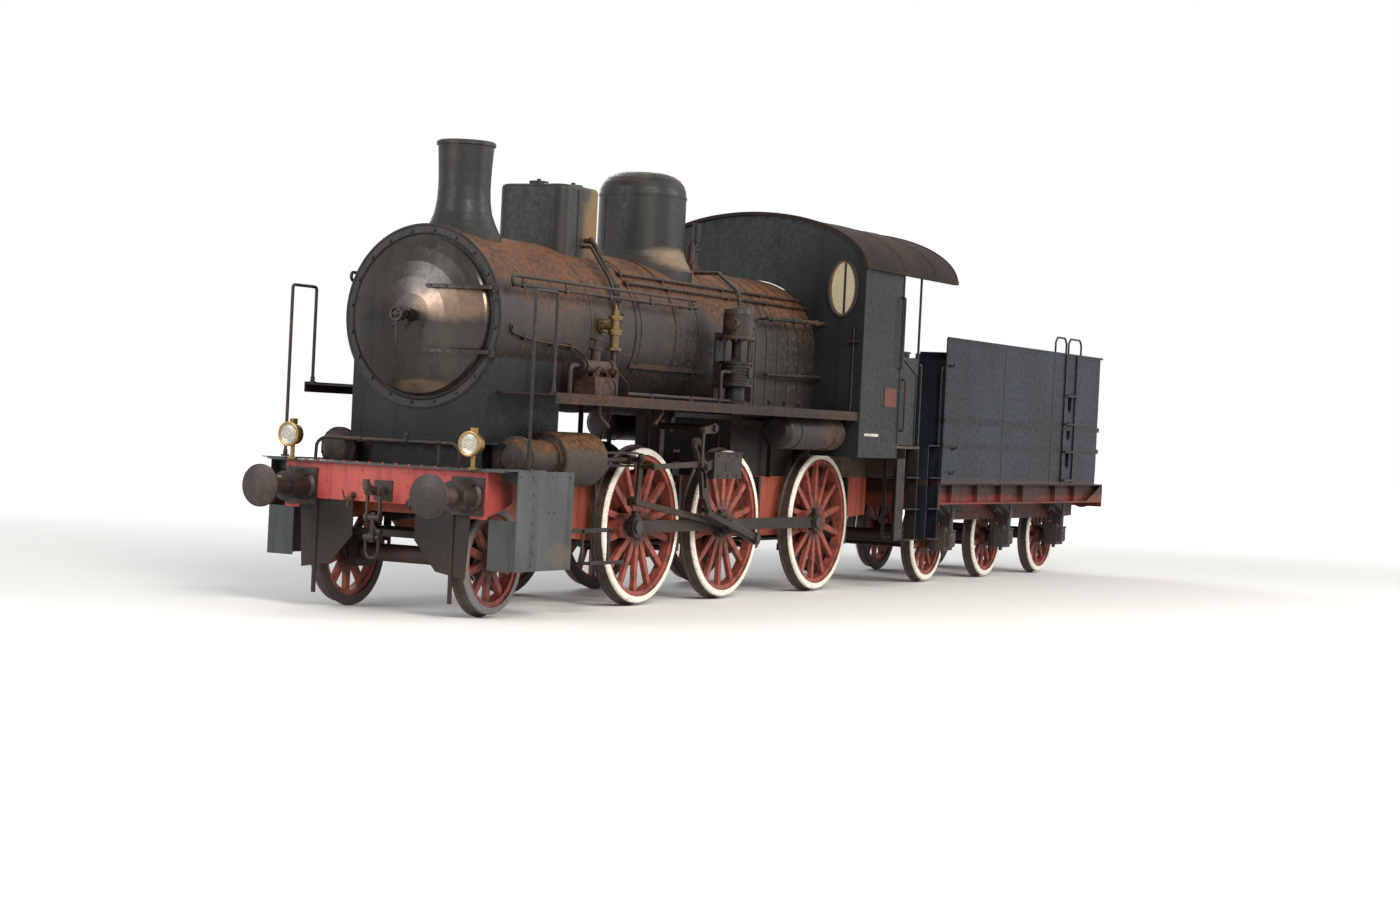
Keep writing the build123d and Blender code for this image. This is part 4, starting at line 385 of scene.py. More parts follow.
RODS = [f"{kind}_rod_{hand}" for kind in ("coupling", "lever", "eccentric") for hand in ("left", "right")]
FINISHES = (
    (frame_red, ("main_frame",)),
    (frame_black, ("axle_boxes", "ashpan", "rail_guards", "brake_gear", "leading_truck", "drawbar",
                   "tender_brake_gear", "cab_steps", "cylinder_block")),
    (sheet_black, ("smokebox_saddle", "cab_front", "cab_sides")),
    (fitting_black, ("chimney", "sandbox", "steam_dome")),
    (boiler_rust, ("smokebox", "boiler_barrel", "firebox")),
    (buffer_iron, ("front_buffers", "tender_buffers", "front_coupling")),
    (pipe_iron, ("air_reservoirs", "handrails", "pipework", "air_compressor", "cab_controls",
                 "safety_valves")),
    (rod_steel, ("valve_gear", *RODS)),
    (tender_black, ("tender_tank", "tender_fittings", "tender_lid", "tender_filler")),
    (spring_iron, ("tender_axle_boxes",)),
    (floor_wood, ("cab_floor",)),
    (board_rust, ("running_boards",)),
    (beam_red, ("front_beam",)),
    (sill_red_painted_shade, ("tender_frame",)),
    (apron_grey, ("front_platform",)),
    (chest_rust, ("valve_chests",)),
    (door_graphite_painted_reflection, ("smokebox_door",)),
    (roof_brown, ("cab_roof",)),
    (cab_inside, ("backhead",)),
    (bright_brass, ("check_valves",)),
    (brass, ("headlamps",)),
    (lamp_glass, ("headlamp_lenses",)),
    (window_glass, ("cab_windows",)),
)
for finish, painted in FINISHES:
    for name in painted:
        paint(name, finish)
paint("leading_wheelset", wheel_paint("leading_wheel_paint", LEADER_AXLE, LEADER_R, "#6d6b69", "#3a342f"))
for kind, axles, tread in (("driving", DRIVER_AXLES, DRIVER_R), ("tender", TENDER_AXLES, TENDER_R)):
    for number, axle in enumerate(axles, start=1):
        paint(f"{kind}_wheelset_{number}", wheel_paint(f"{kind}_wheel_paint_{number}", axle, tread))


# Mesh code for the small pieces. Everything is in the part's own frame, in metres.
def add_rod(form, start, end, r, sides=20):
    """A round bar between two points, closed at both ends."""
    turn = (end - start).to_track_quat("Z", "Y").to_matrix().to_4x4()
    bmesh.ops.create_cone(form, cap_ends=True, segments=sides, radius1=r, radius2=r,
                          depth=(end - start).length, matrix=Matrix.Translation((start + end) / 2) @ turn)


def add_block(form, low, high):
    """A plain block between two corners."""
    size = Matrix.Diagonal((*(abs(v) for v in high - low), 1.0))
    bmesh.ops.create_cube(form, size=1.0, matrix=Matrix.Translation((low + high) / 2) @ size)


def add_turned(form, centre, axis, profile, sides=32):
    """A body turned about an axis from (distance along it, radius) pairs."""
    turn = Vector(axis).to_track_quat("Z", "Y").to_matrix()
    rings = []
    for along, r in profile:
        if r < 1e-6:
            rings.append([form.verts.new(centre + turn @ Vector((0, 0, along)))])
            continue
        turns = [2 * math.pi * k / sides for k in range(sides)]
        rings.append([form.verts.new(centre + turn @ Vector((r * math.cos(a), r * math.sin(a), along)))
                      for a in turns])
    for near, far in zip(rings, rings[1:]):
        for k in range(sides):
            m = k + 1
            corners = [near[k % len(near)], near[m % len(near)], far[m % len(far)], far[k % len(far)]]
            loop = list(dict.fromkeys(corners))
            if len(loop) > 2:
                form.faces.new(loop)
    for ring in (rings[0], rings[-1]):
        if len(ring) > 1:
            form.faces.new(ring)


def add_collar(form, centre, axis, r, low, high, sides=6):
    """A nut, washer or collar: a short prism between two distances along its axis."""
    add_turned(form, centre, axis, [(low, 0), (low, r), (high, r), (high, 0)], sides)


def add_hoop(form, centre, half_width, half_height, section, sides=64):
    """A closed ring that faces forward, round or oval, from its section as (forward, outward) pairs."""
    rings = []
    for k in range(sides):
        c, s = math.cos(2 * math.pi * k / sides), math.sin(2 * math.pi * k / sides)
        rings.append([form.verts.new(centre + Vector((x, (half_width + out) * c, (half_height + out) * s)))
                      for x, out in section])
    for near, far in zip(rings, rings[1:] + rings[:1]):
        for k in range(len(section)):
            m = (k + 1) % len(section)
            form.faces.new((near[k], near[m], far[m], far[k]))


def bead(high, half):
    """Section of a rounded bead that lies flat on its back."""
    return [(0.0, -half), (high * 0.7, -half * 0.75), (high, 0.0), (high * 0.7, half * 0.75), (0.0, half)]


def add_slab(form, outline, depth):
    """A flat plate from its outline and its thickness as a vector."""
    near = [form.verts.new(p) for p in outline]
    far = [form.verts.new(v.co + Vector(depth)) for v in near]
    form.faces.new(near)
    form.faces.new(list(reversed(far)))
    for k in range(len(near)):
        m = (k + 1) % len(near)
        form.faces.new((near[k], far[k], far[m], near[m]))


def add_side_plate(form, x0, x1, z0, z1, y, thick):
    """A rectangular plate on a side sheet, standing out from it by its thickness."""
    add_slab(form, [at(x0, y, z0), at(x1, y, z0), at(x1, y, z1), at(x0, y, z1)], (0, thick, 0))


def rounded(points, bend, steps=5):
    """The same run with each corner rounded off to about the bend radius."""
    run = [points[0]]
    for before, corner, after in zip(points, points[1:], points[2:]):
        cut = min(bend, (before - corner).length * 0.45, (after - corner).length * 0.45)
        first = corner + (before - corner).normalized() * cut
        last = corner + (after - corner).normalized() * cut
        for k in range(steps + 1):
            t = k / steps
            run.append(first * (1 - t) ** 2 + corner * 2 * t * (1 - t) + last * t ** 2)
    run.append(points[-1])
    return run


def add_tube(form, points, r, bend, sides=10):
    """A pipe through a run of points, its corners rounded, closed at both ends."""
    run = rounded(points, bend)
    ahead = [(run[min(k + 1, len(run) - 1)] - run[max(k - 1, 0)]).normalized() for k in range(len(run))]
    across = ahead[0].orthogonal().normalized()
    rings = []
    for here, way in zip(run, ahead):
        across = (across - way * across.dot(way)).normalized()
        other = way.cross(across)
        rings.append([form.verts.new(here + (across * math.cos(a) + other * math.sin(a)) * r)
                      for a in (2 * math.pi * k / sides for k in range(sides))])
    for near, far in zip(rings, rings[1:]):
        for k in range(sides):
            form.faces.new((near[k], near[(k + 1) % sides], far[(k + 1) % sides], far[k]))
    form.faces.new(list(reversed(rings[0])))
    form.faces.new(rings[-1])


def finish_piece(name, form, body, material, edge=0.0):
    """Turns collected forms into one object that rides a body, with worn edges where asked."""
    bmesh.ops.recalc_face_normals(form, faces=form.faces)
    mesh = bpy.data.meshes.new(name)
    form.to_mesh(mesh)
    form.free()
    mesh.materials.append(material)
    mesh.shade_smooth()
    mesh.set_sharp_from_angle(angle=math.radians(38))
    made = bpy.data.objects.new(name, mesh)
    bpy.context.scene.collection.objects.link(made)
    if edge:
        bevel = made.modifiers.new("worn_edges", "BEVEL")
        bevel.width = edge
        bevel.segments = 2
        bevel.limit_method = "ANGLE"
        bevel.angle_limit = math.radians(50)
    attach(made, body)


def stud_tree():
    """Geometry Nodes: a rivet or bolt head on each point, standing along the point's facing."""
    tree = bpy.data.node_groups.new("heads_on_points", "GeometryNodeTree")
    for name, way, kind in (("Points", "INPUT", "Geometry"), ("Head radius", "INPUT", "Float"),
                            ("Head height", "INPUT", "Float"), ("Six sided", "INPUT", "Bool"),
                            ("Finish", "INPUT", "Material"), ("Heads", "OUTPUT", "Geometry")):
        tree.interface.new_socket(name, in_out=way, socket_type="NodeSocket" + kind)
    given = node(tree, "NodeGroupInput")
    facing = node(tree, "GeometryNodeInputNamedAttribute", {"Name": "facing"}, data_type="FLOAT_VECTOR")
    turn = node(tree, "FunctionNodeAlignRotationToVector", {"Vector": facing.outputs[0]}, axis="Z")
    ball = node(tree, "GeometryNodeMeshIcoSphere", {"Radius": 1.0, "Subdivisions": 2})
    hexagon = node(tree, "GeometryNodeMeshCone", {"Vertices": 6, "Radius Top": 0.86, "Radius Bottom": 1.0,
                                                  "Depth": 2.0})
    centred = node(tree, "GeometryNodeTransform", {"Geometry": hexagon.outputs[0],
                                                   "Translation": (0.0, 0.0, -1.0)})
    kind = node(tree, "GeometryNodeSwitch", {"Switch": given.outputs["Six sided"], "False": ball.outputs[0],
                                             "True": centred.outputs[0]}, input_type="GEOMETRY")
    head_r = given.outputs["Head radius"]
    size = node(tree, "ShaderNodeCombineXYZ", {0: head_r, 1: head_r, 2: given.outputs["Head height"]})
    spots = node(tree, "GeometryNodeMeshToPoints", {"Mesh": given.outputs["Points"]})
    heads = node(tree, "GeometryNodeInstanceOnPoints", {
        "Points": spots.outputs[0], "Instance": kind.outputs[0],
        "Rotation": turn.outputs[0], "Scale": size.outputs[0]})
    real = node(tree, "GeometryNodeRealizeInstances", {0: heads.outputs[0]})
    smooth = node(tree, "GeometryNodeSetShadeSmooth", {0: real.outputs[0]})
    painted = node(tree, "GeometryNodeSetMaterial", {0: smooth.outputs[0],
                                                     "Material": given.outputs["Finish"]})
    node(tree, "NodeGroupOutput", {0: painted.outputs[0]})
    return tree


HEADS = stud_tree()


def add_heads(name, spots, body, material, radius=0.011, height=0.006, six=False):
    """Rivet or bolt heads on (place, facing) pairs, joined in one piece on a body."""
    points = bpy.data.meshes.new(name + "_points")
    points.from_pydata([p for p, _ in spots], [], [])
    facing = points.attributes.new("facing", "FLOAT_VECTOR", "POINT")
    for k, (_, way) in enumerate(spots):
        facing.data[k].vector = way
    holder = bpy.data.objects.new(name + "_points", points)
    bpy.context.scene.collection.objects.link(holder)
    grown = holder.modifiers.new("heads", "NODES")
    grown.node_group = HEADS
    names = {item.name: item.identifier for item in HEADS.interface.items_tree if item.in_out == "INPUT"}
    grown[names["Head radius"]] = radius
    grown[names["Head height"]] = height
    grown[names["Six sided"]] = six
    grown[names["Finish"]] = material
    bpy.context.view_layer.update()
    seen = holder.evaluated_get(bpy.context.evaluated_depsgraph_get())
    mesh = bpy.data.meshes.new_from_object(seen)
    mesh.name = name
    if six:
        mesh.set_sharp_from_angle(angle=math.radians(30))
    bpy.data.objects.remove(holder)
    made = bpy.data.objects.new(name, mesh)
    bpy.context.scene.collection.objects.link(made)
    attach(made, body)


def row(start, end, step, way):
    """Evenly spaced places from one point to another, all facing one way."""
    count = max(1, round((end - start).length / step))
    return [(start.lerp(end, k / count), way) for k in range(count + 1)]


def circle(centre, r, count, first=0.0, way=None):
    """Places evenly round a forward axis, facing outwards or all one way."""
    arms = [Vector((0, math.cos(a), math.sin(a)))
            for a in (math.radians(first + 360.0 * k / count) for k in range(count))]
    return [(centre + arm * r, way or arm) for arm in arms]


def make_boiler_and_cab_heads():
    """Rivets and bolts of the smokebox, its saddle and its door, and of the cab."""
    spots = []
    for x, first in ((6.845, 0.0), (5.345, 0.0), (5.430, 4.0)):
        spots += circle(at(x, 0, BOILER_Z), SMOKEBOX_R, 44, first)
    add_heads("smokebox_rivets", spots, "engine", boiler_rust)
    spots = circle(at(6.930, 0, BOILER_Z), 0.768, 20, 12.0, AHEAD)
    add_heads("smokebox_ring_nuts", spots, "engine", fitting_black, 0.018, 0.017, True)

    spots = []
    for z in (2.870, 2.300):
        for y, x in ((0.20, 7.124), (0.35, 7.105), (0.50, 7.080), (0.64, 7.038)):
            spots.append((at(x, y, z), Vector((0.98, 0.2, 0.0))))
    add_heads("door_strap_bolts", spots, "smokebox_door", door_graphite_painted_reflection, 0.012, 0.010, True)

    spots = []
    for s in SIDES:
        side, y = Vector((0, s, 0)), s * CAB_SIDE
        for x0, z0, x1, z1 in ((0.375, 1.520, 0.375, 3.500), (0.345, 1.505, -0.660, 1.505),
                               (-0.680, 1.520, -0.680, 2.580), (0.340, 3.520, -0.660, 3.520)):
            spots += row(at(x0, y, z0), at(x1, y, z1), 0.078, side)
        spots += row(at(CAB_FRONT, s * 1.325, 2.02), at(CAB_FRONT, s * 1.325, 3.46), 0.085, AHEAD)
    for k in range(37):
        a = math.pi * k / 36
        spots.append((at(CAB_FRONT, 1.300 * math.cos(a), 3.548 + 0.530 * math.sin(a)), AHEAD))
    add_heads("cab_rivets", spots, "engine", sheet_black, 0.008, 0.0045)

    spots = []
    for s in SIDES:
        side = Vector((0, s, 0))
        spots += row(at(5.70, s * 0.81, 1.512), at(6.90, s * 0.81, 1.512), 0.075, UP)
        spots += row(at(5.73, s * 0.720, 1.56), at(6.88, s * 0.720, 1.56), 0.08, side)
        spots += row(at(6.925, s * 0.69, 1.56), at(6.925, s * 0.69, 2.02), 0.08, AHEAD)
    spots += row(at(6.925, -0.62, 1.56), at(6.925, 0.62, 1.56), 0.08, AHEAD)
    add_heads("saddle_rivets", spots, "engine", sheet_black, 0.010, 0.006)


def make_frame_heads():
    """Bolts of the beam, apron, buffer feet and valve chests, and rivets of the running boards."""
    spots = []
    for y in (-1.03, -0.62, -0.24, 0.24, 0.62, 1.03):
        spots += [(at(BEAM_FRONT, y, z), AHEAD) for z in (0.985, 1.105, 1.225)]
    spots += row(at(7.34, -1.03, 1.283), at(7.34, 1.03, 1.283), 0.14, UP)
    for s in SIDES:
        spots += [(at(BEAM_FRONT, s * 0.98, z), AHEAD) for z in (0.885, 0.93)]
    add_heads("beam_bolts", spots, "engine", beam_red, 0.014, 0.010, True)

    spots = []
    for s in SIDES:
        side, y = Vector((0, s, 0)), s * 1.308
        spots += [(at(x, y, 1.235), side) for x in (6.42, 6.72, 7.05, 7.25)]
        spots += [(at(x, y, 0.927), side) for x in (6.67, 6.76)]
        spots += row(at(7.03, y, 0.47), at(7.03, y, 1.20), 0.12, side)
        for dy in (0.126, -0.126):
            for dz in (-0.13225, 0.13225):
                spots.append((at(BEAM_FRONT + 0.020, s * BUFFER_Y + dy, BUFFER_Z + dz), AHEAD))
    add_heads("apron_bolts", spots, "engine", apron_grey, 0.011, 0.007, True)

    spots = []
    for s in SIDES:
        for x, way, r, count in ((6.785, AHEAD, 0.180, 12), (6.295, AHEAD, 0.216, 14),
                                 (5.510, BACK, 0.085, 8)):
            spots += circle(at(x, s * CHEST_Y, CHEST_Z), r, count, 15.0, way)
    add_heads("chest_studs", spots, "engine", chest_rust, 0.013, 0.012, True)

    spots = []
    for s in SIDES:
        side = Vector((0, s, 0))
        spots += row(at(0.46, s * 1.350, 1.915), at(6.75, s * 1.350, 1.915), 0.16, side)
        spots += row(at(0.46, s * 1.318, 1.967), at(6.75, s * 1.318, 1.967), 0.16, UP)
    add_heads("board_rivets", spots, "engine", board_rust, 0.009, 0.005)


def make_tender_heads():
    """Rivets of the tank and the sill, bolts of the axle boxes."""
    spots = []
    for s in SIDES:
        side, y = Vector((0, s, 0)), s * TANK_SIDE
        for z in (1.245, 2.875):
            spots += row(at(-1.96, y, z), at(-7.34, y, z), 0.080, side)
        for x in (-1.935, -3.84, -3.90, -5.60, -5.66, -7.33):
            spots += row(at(x, y, 1.32), at(x, y, 2.82), 0.080, side)
    for z in (1.245, 2.875):
        spots += row(at(-7.500, -1.24, z), at(-7.500, 1.24, z), 0.080, BACK)
    add_heads("tank_rivets", spots, "tender", tender_black, 0.0075, 0.004)

    spots = []
    for s in SIDES:
        side, y = Vector((0, s, 0)), s * SILL_SIDE
        for z in (1.16, 1.01):
            spots += row(at(-2.05, y, z), at(-7.10, y, z), 0.15, side)
    for y in (-1.25, -0.55, 0.55, 1.25):
        spots += [(at(-7.850, y, z), BACK) for z in (0.96, 1.06, 1.16)]
    add_heads("sill_rivets", spots, "tender", sill_red_painted_shade, 0.011, 0.007)

    spots = []
    for s in SIDES:
        side = Vector((0, s, 0))
        for axle in TENDER_AXLES:
            spots += [(at(axle + dx, s * 1.130, z), side) for dx in (-0.072, 0.072) for z in (0.443, 0.587)]
            spots += [(at(axle + dx, s * 0.962, z), side) for dx in (-0.19, 0.19) for z in (0.48, 0.72)]
    add_heads("axle_box_bolts", spots, "tender", frame_black, 0.012, 0.010, True)


def make_smokebox_details():
    """The beads of the drum's front and the small pipe along its side."""
    form = bmesh.new()
    for r, high, half in ((0.812, 0.014, 0.013), (0.738, 0.020, 0.012)):
        add_hoop(form, at(6.924, 0, BOILER_Z), r, r, bead(high, half), 96)
    finish_piece("smokebox_front_beads", form, "engine", fitting_black)

    form = bmesh.new()
    add_tube(form, [at(6.71, 0.789, 2.545), at(6.71, 0.812, 2.49), at(6.32, 0.812, 2.44),
                    at(5.62, 0.803, 2.415), at(5.42, 0.822, 2.33), at(5.40, 0.868, 2.12),
                    at(5.40, 0.905, 2.08)], 0.011, 0.06)
    for x, y, z in ((6.50, 0.797, 2.462), (6.00, 0.795, 2.427), (5.66, 0.793, 2.416)):
        add_block(form, at(x - 0.012, y - 0.02, z - 0.026), at(x + 0.012, y + 0.02, z + 0.026))
    add_turned(form, at(6.71, 0.785, 2.545), (0, 1, 0),
               [(0, 0), (0, 0.026), (0.02, 0.026), (0.024, 0.018), (0.04, 0.018), (0.04, 0)], 12)
    finish_piece("smokebox_side_pipe", form, "engine", pipe_iron, 0.001)


def make_boiler_details():
    """Sand pipes, joint strips, unions, nuts, oil pipes, rail knobs and the compressor's flange."""
    form = bmesh.new()
    for s in SIDES:
        add_tube(form, [at(4.800, s * 0.378, 3.46), at(4.800, s * 0.47, 3.455), at(4.795, s * 0.665, 3.16),
                        at(4.795, s * 0.775, 2.96), at(4.800, s * 0.818, 2.70)], 0.024, 0.12, 14)
        add_collar(form, at(4.799, s * 0.45, 3.462), (0, s, 0), 0.033, -0.014, 0.014, 12)
        for y, z in ((0.60, 3.265), (0.745, 3.03), (0.812, 2.76)):
            add_collar(form, at(4.799, s * y, z), (0, s * 0.62, -0.78), 0.033, -0.014, 0.014, 12)
        add_tube(form, [at(4.800, s * 0.818, 2.71), at(4.855, s * 0.826, 2.30), at(4.855, s * 0.826, 1.968)],
                 0.011, 0.2)
    finish_piece("sand_delivery_pipes", form, "engine", pipe_iron)

    form = bmesh.new()
    band_r = BARREL_R + 0.002
    band_turns = [0.05 * k for k in range(1, 41)]
    for s in SIDES:
        for z, x0, x1, y in ((2.300, 2.885, 4.440, 0.7255), (2.312, 0.420, 1.880, 0.792)):
            add_block(form, at(x0, s * (y - 0.006), z - 0.028), at(x1, s * (y + 0.006), z + 0.028))
        for x in (3.62, 4.43):
            add_tube(form, [at(x, s * band_r * math.sin(a), BOILER_Z + band_r * math.cos(a))
                            for a in band_turns], 0.008, 0.01)
    finish_piece("cladding_joint_strips", form, "engine", board_rust)

    form = bmesh.new()
    for s in SIDES:
        y = s * 0.930
        add_turned(form, at(CHECK_VALVE_X, y, 2.755), UP,
                   [(0, 0), (0, 0.030), (0.035, 0.030), (0.04, 0.018), (0.075, 0.018), (0.08, 0.008),
                    (0.1, 0.008), (0.1, 0)], 16)
        for z in (2.425, 2.60, 2.725):
            add_turned(form, at(CHECK_VALVE_X, y, z), UP,
                       [(-0.012, 0), (-0.012, 0.071), (0.008, 0.071), (0.012, 0.066), (0.012, 0)], 6)
        add_collar(form, at(CHECK_VALVE_X, s * 0.812, 2.640), (0, s, 0), 0.062, 0, 0.012)
    finish_piece("check_valve_unions", form, "engine", bright_brass, 0.0015)

    spots = []
    for s in SIDES:
        for k in range(8):
            a = math.radians(22.5 + 45 * k)
            x, z = CHECK_VALVE_X + 0.063 * math.cos(a), 2.640 + 0.063 * math.sin(a)
            spots.append((at(x, s * 0.811, z), Vector((0, s, 0))))
    for k in range(16):
        a = math.radians(22.5 * k)
        spots.append((at(DOME_X + 0.235 * math.cos(a), 0.235 * math.sin(a), 4.064), UP))
    add_heads("fitting_nuts", spots, "engine", fitting_black, 0.013, 0.014, True)

    form = bmesh.new()
    oiler_y = 1.010
    for x in (5.30, 5.86):
        add_collar(form, at(x, oiler_y, 2.24), AHEAD, 0.032, -0.03, 0.03)
    for x in (5.46, 5.70):
        for way in (-1, 1):
            y = oiler_y + way * 0.065
            add_tube(form, [at(x, y, 2.145), at(x, y, 2.20), at(x, y + way * 0.06, 2.25),
                            at(x - 0.25, y + way * 0.09, 2.10), at(x - 0.30, y + way * 0.06, 1.968)],
                     0.007, 0.05)
            add_collar(form, at(x, y, 2.148), UP, 0.016, 0, 0.03)
    add_turned(form, at(5.578, oiler_y, 2.497), UP,
               [(-0.004, 0), (-0.004, 0.058), (0.008, 0.058), (0.012, 0.05), (0.012, 0)], 20)
    finish_piece("lubricator_pipes", form, "engine", copper)

    form = bmesh.new()
    for s in SIDES:
        for x, z in ((1.700, 2.911), (1.150, 2.919), (0.600, 2.927)):
            add_turned(form, at(x, s * 0.884, z), AHEAD, [(-0.022, 0), (-0.022, 0.026), (-0.012, 0.033),
                                                          (0.012, 0.033), (0.022, 0.026), (0.022, 0)], 16)
            add_turned(form, at(x, s * 0.902, z), (0, s, 0),
                       [(0, 0), (0, 0.014), (0.012, 0.012), (0.016, 0)], 12)
        for x, z in ((1.650, 2.321), (1.100, 2.330), (0.560, 2.338)):
            add_turned(form, at(x, s * 0.880, z), AHEAD,
                       [(-0.02, 0), (-0.02, 0.022), (0, 0.027), (0.02, 0.022), (0.02, 0)], 16)
    finish_piece("handrail_knobs", form, "engine", fitting_black)

    form = bmesh.new()
    add_turned(form, at(COMPRESSOR_X, COMPRESSOR_Y, 2.641), UP,
               [(-0.006, 0.10), (-0.006, 0.178), (0.004, 0.180), (0.020, 0.180), (0.030, 0.176),
                (0.030, 0.10)], 40)
    for a in (math.radians(22.5 + 45 * k) for k in range(8)):
        x, y = COMPRESSOR_X + 0.163 * math.cos(a), COMPRESSOR_Y + 0.163 * math.sin(a)
        for z in (2.630, 2.671):
            add_collar(form, at(x, y, z), UP, 0.012, -0.014, 0.010)
    finish_piece("compressor_flange", form, "engine", chest_rust, 0.001)


def make_front_details():
    """The cross pipe, its posts and cocks, the lamp rims and the door's small parts."""
    pipe_x, pipe_z, deck = 7.30, 1.49, 1.284
    form = bmesh.new()
    add_tube(form, [at(7.33, -0.80, deck), at(7.32, -0.80, 1.44), at(pipe_x, -0.74, pipe_z),
                    at(pipe_x, 0.64, pipe_z), at(pipe_x, 0.70, 1.44), at(pipe_x, 0.70, deck)],
             0.016, 0.07, 12)
    add_rod(form, at(pipe_x, 0.485, deck), at(pipe_x, 0.485, 1.495), 0.013)
    for y in (0.485, -0.35, 0.14):
        add_collar(form, at(pipe_x, y, pipe_z), (0, 1, 0), 0.026, -0.022, 0.022)
    add_turned(form, at(pipe_x, 0.14, 1.50), UP, [(0, 0), (0, 0.014), (0.03, 0.014), (0.034, 0.030),
                                                  (0.052, 0.032), (0.064, 0.02), (0.066, 0)], 16)
    finish_piece("front_cross_pipe", form, "engine", pipe_iron)

    rim = [(-0.012, -0.010), (0.012, -0.012), (0.016, 0.0), (0.012, 0.011), (-0.012, 0.011)]
    form = bmesh.new()
    for s in SIDES:
        y = s * LAMP_Y
        add_hoop(form, at(7.535, y, LAMP_Z), 0.099, 0.099, rim, 40)
        add_turned(form, at(7.423, y, LAMP_Z), BACK,
                   [(-0.004, 0), (-0.004, 0.05), (0.010, 0.045), (0.016, 0.02), (0.016, 0)], 20)
        add_block(form, at(7.450, y - 0.010, 1.596), at(7.500, y + 0.010, 1.622))
    finish_piece("lamp_rims", form, "engine", bright_brass)

    form = bmesh.new()
    for s in SIDES:
        add_turned(form, at(7.500, s * LAMP_Y, LAMP_Z), AHEAD,
                   [(0, 0), (0.004, 0.035), (0.018, 0.065), (0.034, 0.085)], 28)
    finish_piece("lamp_reflectors", form, "engine", silvered)

    form = bmesh.new()
    add_hoop(form, at(6.948, 0, BOILER_Z), 0.700, 0.700, bead(0.012, 0.010), 96)
    finish_piece("door_rim_bead", form, "smokebox_door", door_graphite_painted_reflection)

    form = bmesh.new()
    add_turned(form, at(6.944, 0.130, 1.962), AHEAD,
               [(0, 0), (0, 0.048), (0.016, 0.048), (0.022, 0.042), (0.022, 0.030), (0.034, 0.026),
                (0.038, 0.018), (0.038, 0)], 28)
    finish_piece("door_foot_plug", form, "smokebox_door", bright_brass)

    form = bmesh.new()
    for s in SIDES:
        y, handle_y = s * 0.32, s * 0.368
        add_tube(form, [at(BEAM_FRONT, y, 0.99), at(7.455, y, 0.985), at(7.475, y, 0.94), at(7.475, y, 0.90)],
                 0.021, 0.05, 12)
        add_collar(form, at(7.462, y, 0.955), (0, s, 0), 0.017, -0.036, 0.036, 12)
        add_tube(form, [at(7.462, s * 0.356, 0.955), at(7.47, handle_y, 0.97), at(7.50, handle_y, 1.035)],
                 0.007, 0.02)
        add_collar(form, at(BEAM_FRONT + 0.002, y, 0.99), AHEAD, 0.034, -0.002, 0.012)
    finish_piece("angle_cocks", form, "engine", pipe_iron, 0.001)


def make_running_gear_details():
    """Caps on the wheel hubs, plates and nuts on the motion, and the front footsteps."""
    for number, axle in enumerate(DRIVER_AXLES, start=1):
        form = bmesh.new()
        for s in SIDES:
            side = (0, s, 0)
            add_turned(form, at(axle, s * 0.834, DRIVER_R), side,
                       [(-0.006, 0), (-0.006, 0.092), (0.004, 0.090), (0.008, 0.040), (0.008, 0)], 32)
            for a in (math.radians(90 + 120 * k) for k in range(3)):
                x, z = axle + 0.06 * math.cos(a), DRIVER_R + 0.06 * math.sin(a)
                add_collar(form, at(x, s * 0.840, z), side, 0.013, -0.01, 0.008)
        finish_piece(f"hub_caps_{number}", form, f"driving_wheelset_{number}", frame_red)

    form = bmesh.new()
    for s in SIDES:
        side = (0, s, 0)
        for x in (3.06, 3.26, 3.46):
            for z in (1.262, 1.463):
                add_collar(form, at(x, s * 1.250, z), side, 0.013, -0.006, 0.007)
        add_block(form, at(2.952, s * 1.205 - 0.052, 1.484), at(3.568, s * 1.205 + 0.052, 1.500))
        add_block(form, at(3.20, s * 1.250 - 0.004, 1.318), at(3.32, s * 1.250 + 0.004, 1.408))
        for x, z, r in ((3.800, 1.700, 0.024), (3.815, 1.374, 0.024), (3.560, 1.730, 0.040),
                        (3.693, 1.345, 0.036)):
            add_collar(form, at(x, s * 1.2505, z), side, r, -0.004, 0.010)
    finish_piece("motion_plates_and_nuts", form, "engine", frame_black, 0.0015)

    form = bmesh.new()
    back_x, front_x, tread_z = 5.44, 6.06, 0.466
    for s in SIDES:
        inner, outer = s * 1.205, s * 1.335
        add_block(form, at(back_x, s * 1.15, tread_z - 0.014), at(front_x, outer, tread_z))
        add_block(form, at(back_x, s * 1.325, tread_z), at(front_x, outer, tread_z + 0.020))
        for x in (5.50, 5.98):
            add_block(form, at(x, inner, 0.462), at(x + 0.045, s * 1.219, 0.760))
        add_block(form, at(5.48, inner, 0.735), at(6.30, s * 1.219, 0.775))
        add_tube(form, [at(6.28, s * 1.212, 0.755), at(6.33, s * 1.24, 0.755), at(6.40, s * 1.298, 0.755)],
                 0.018, 0.072)
    finish_piece("front_footsteps", form, "engine", frame_black, 0.002)


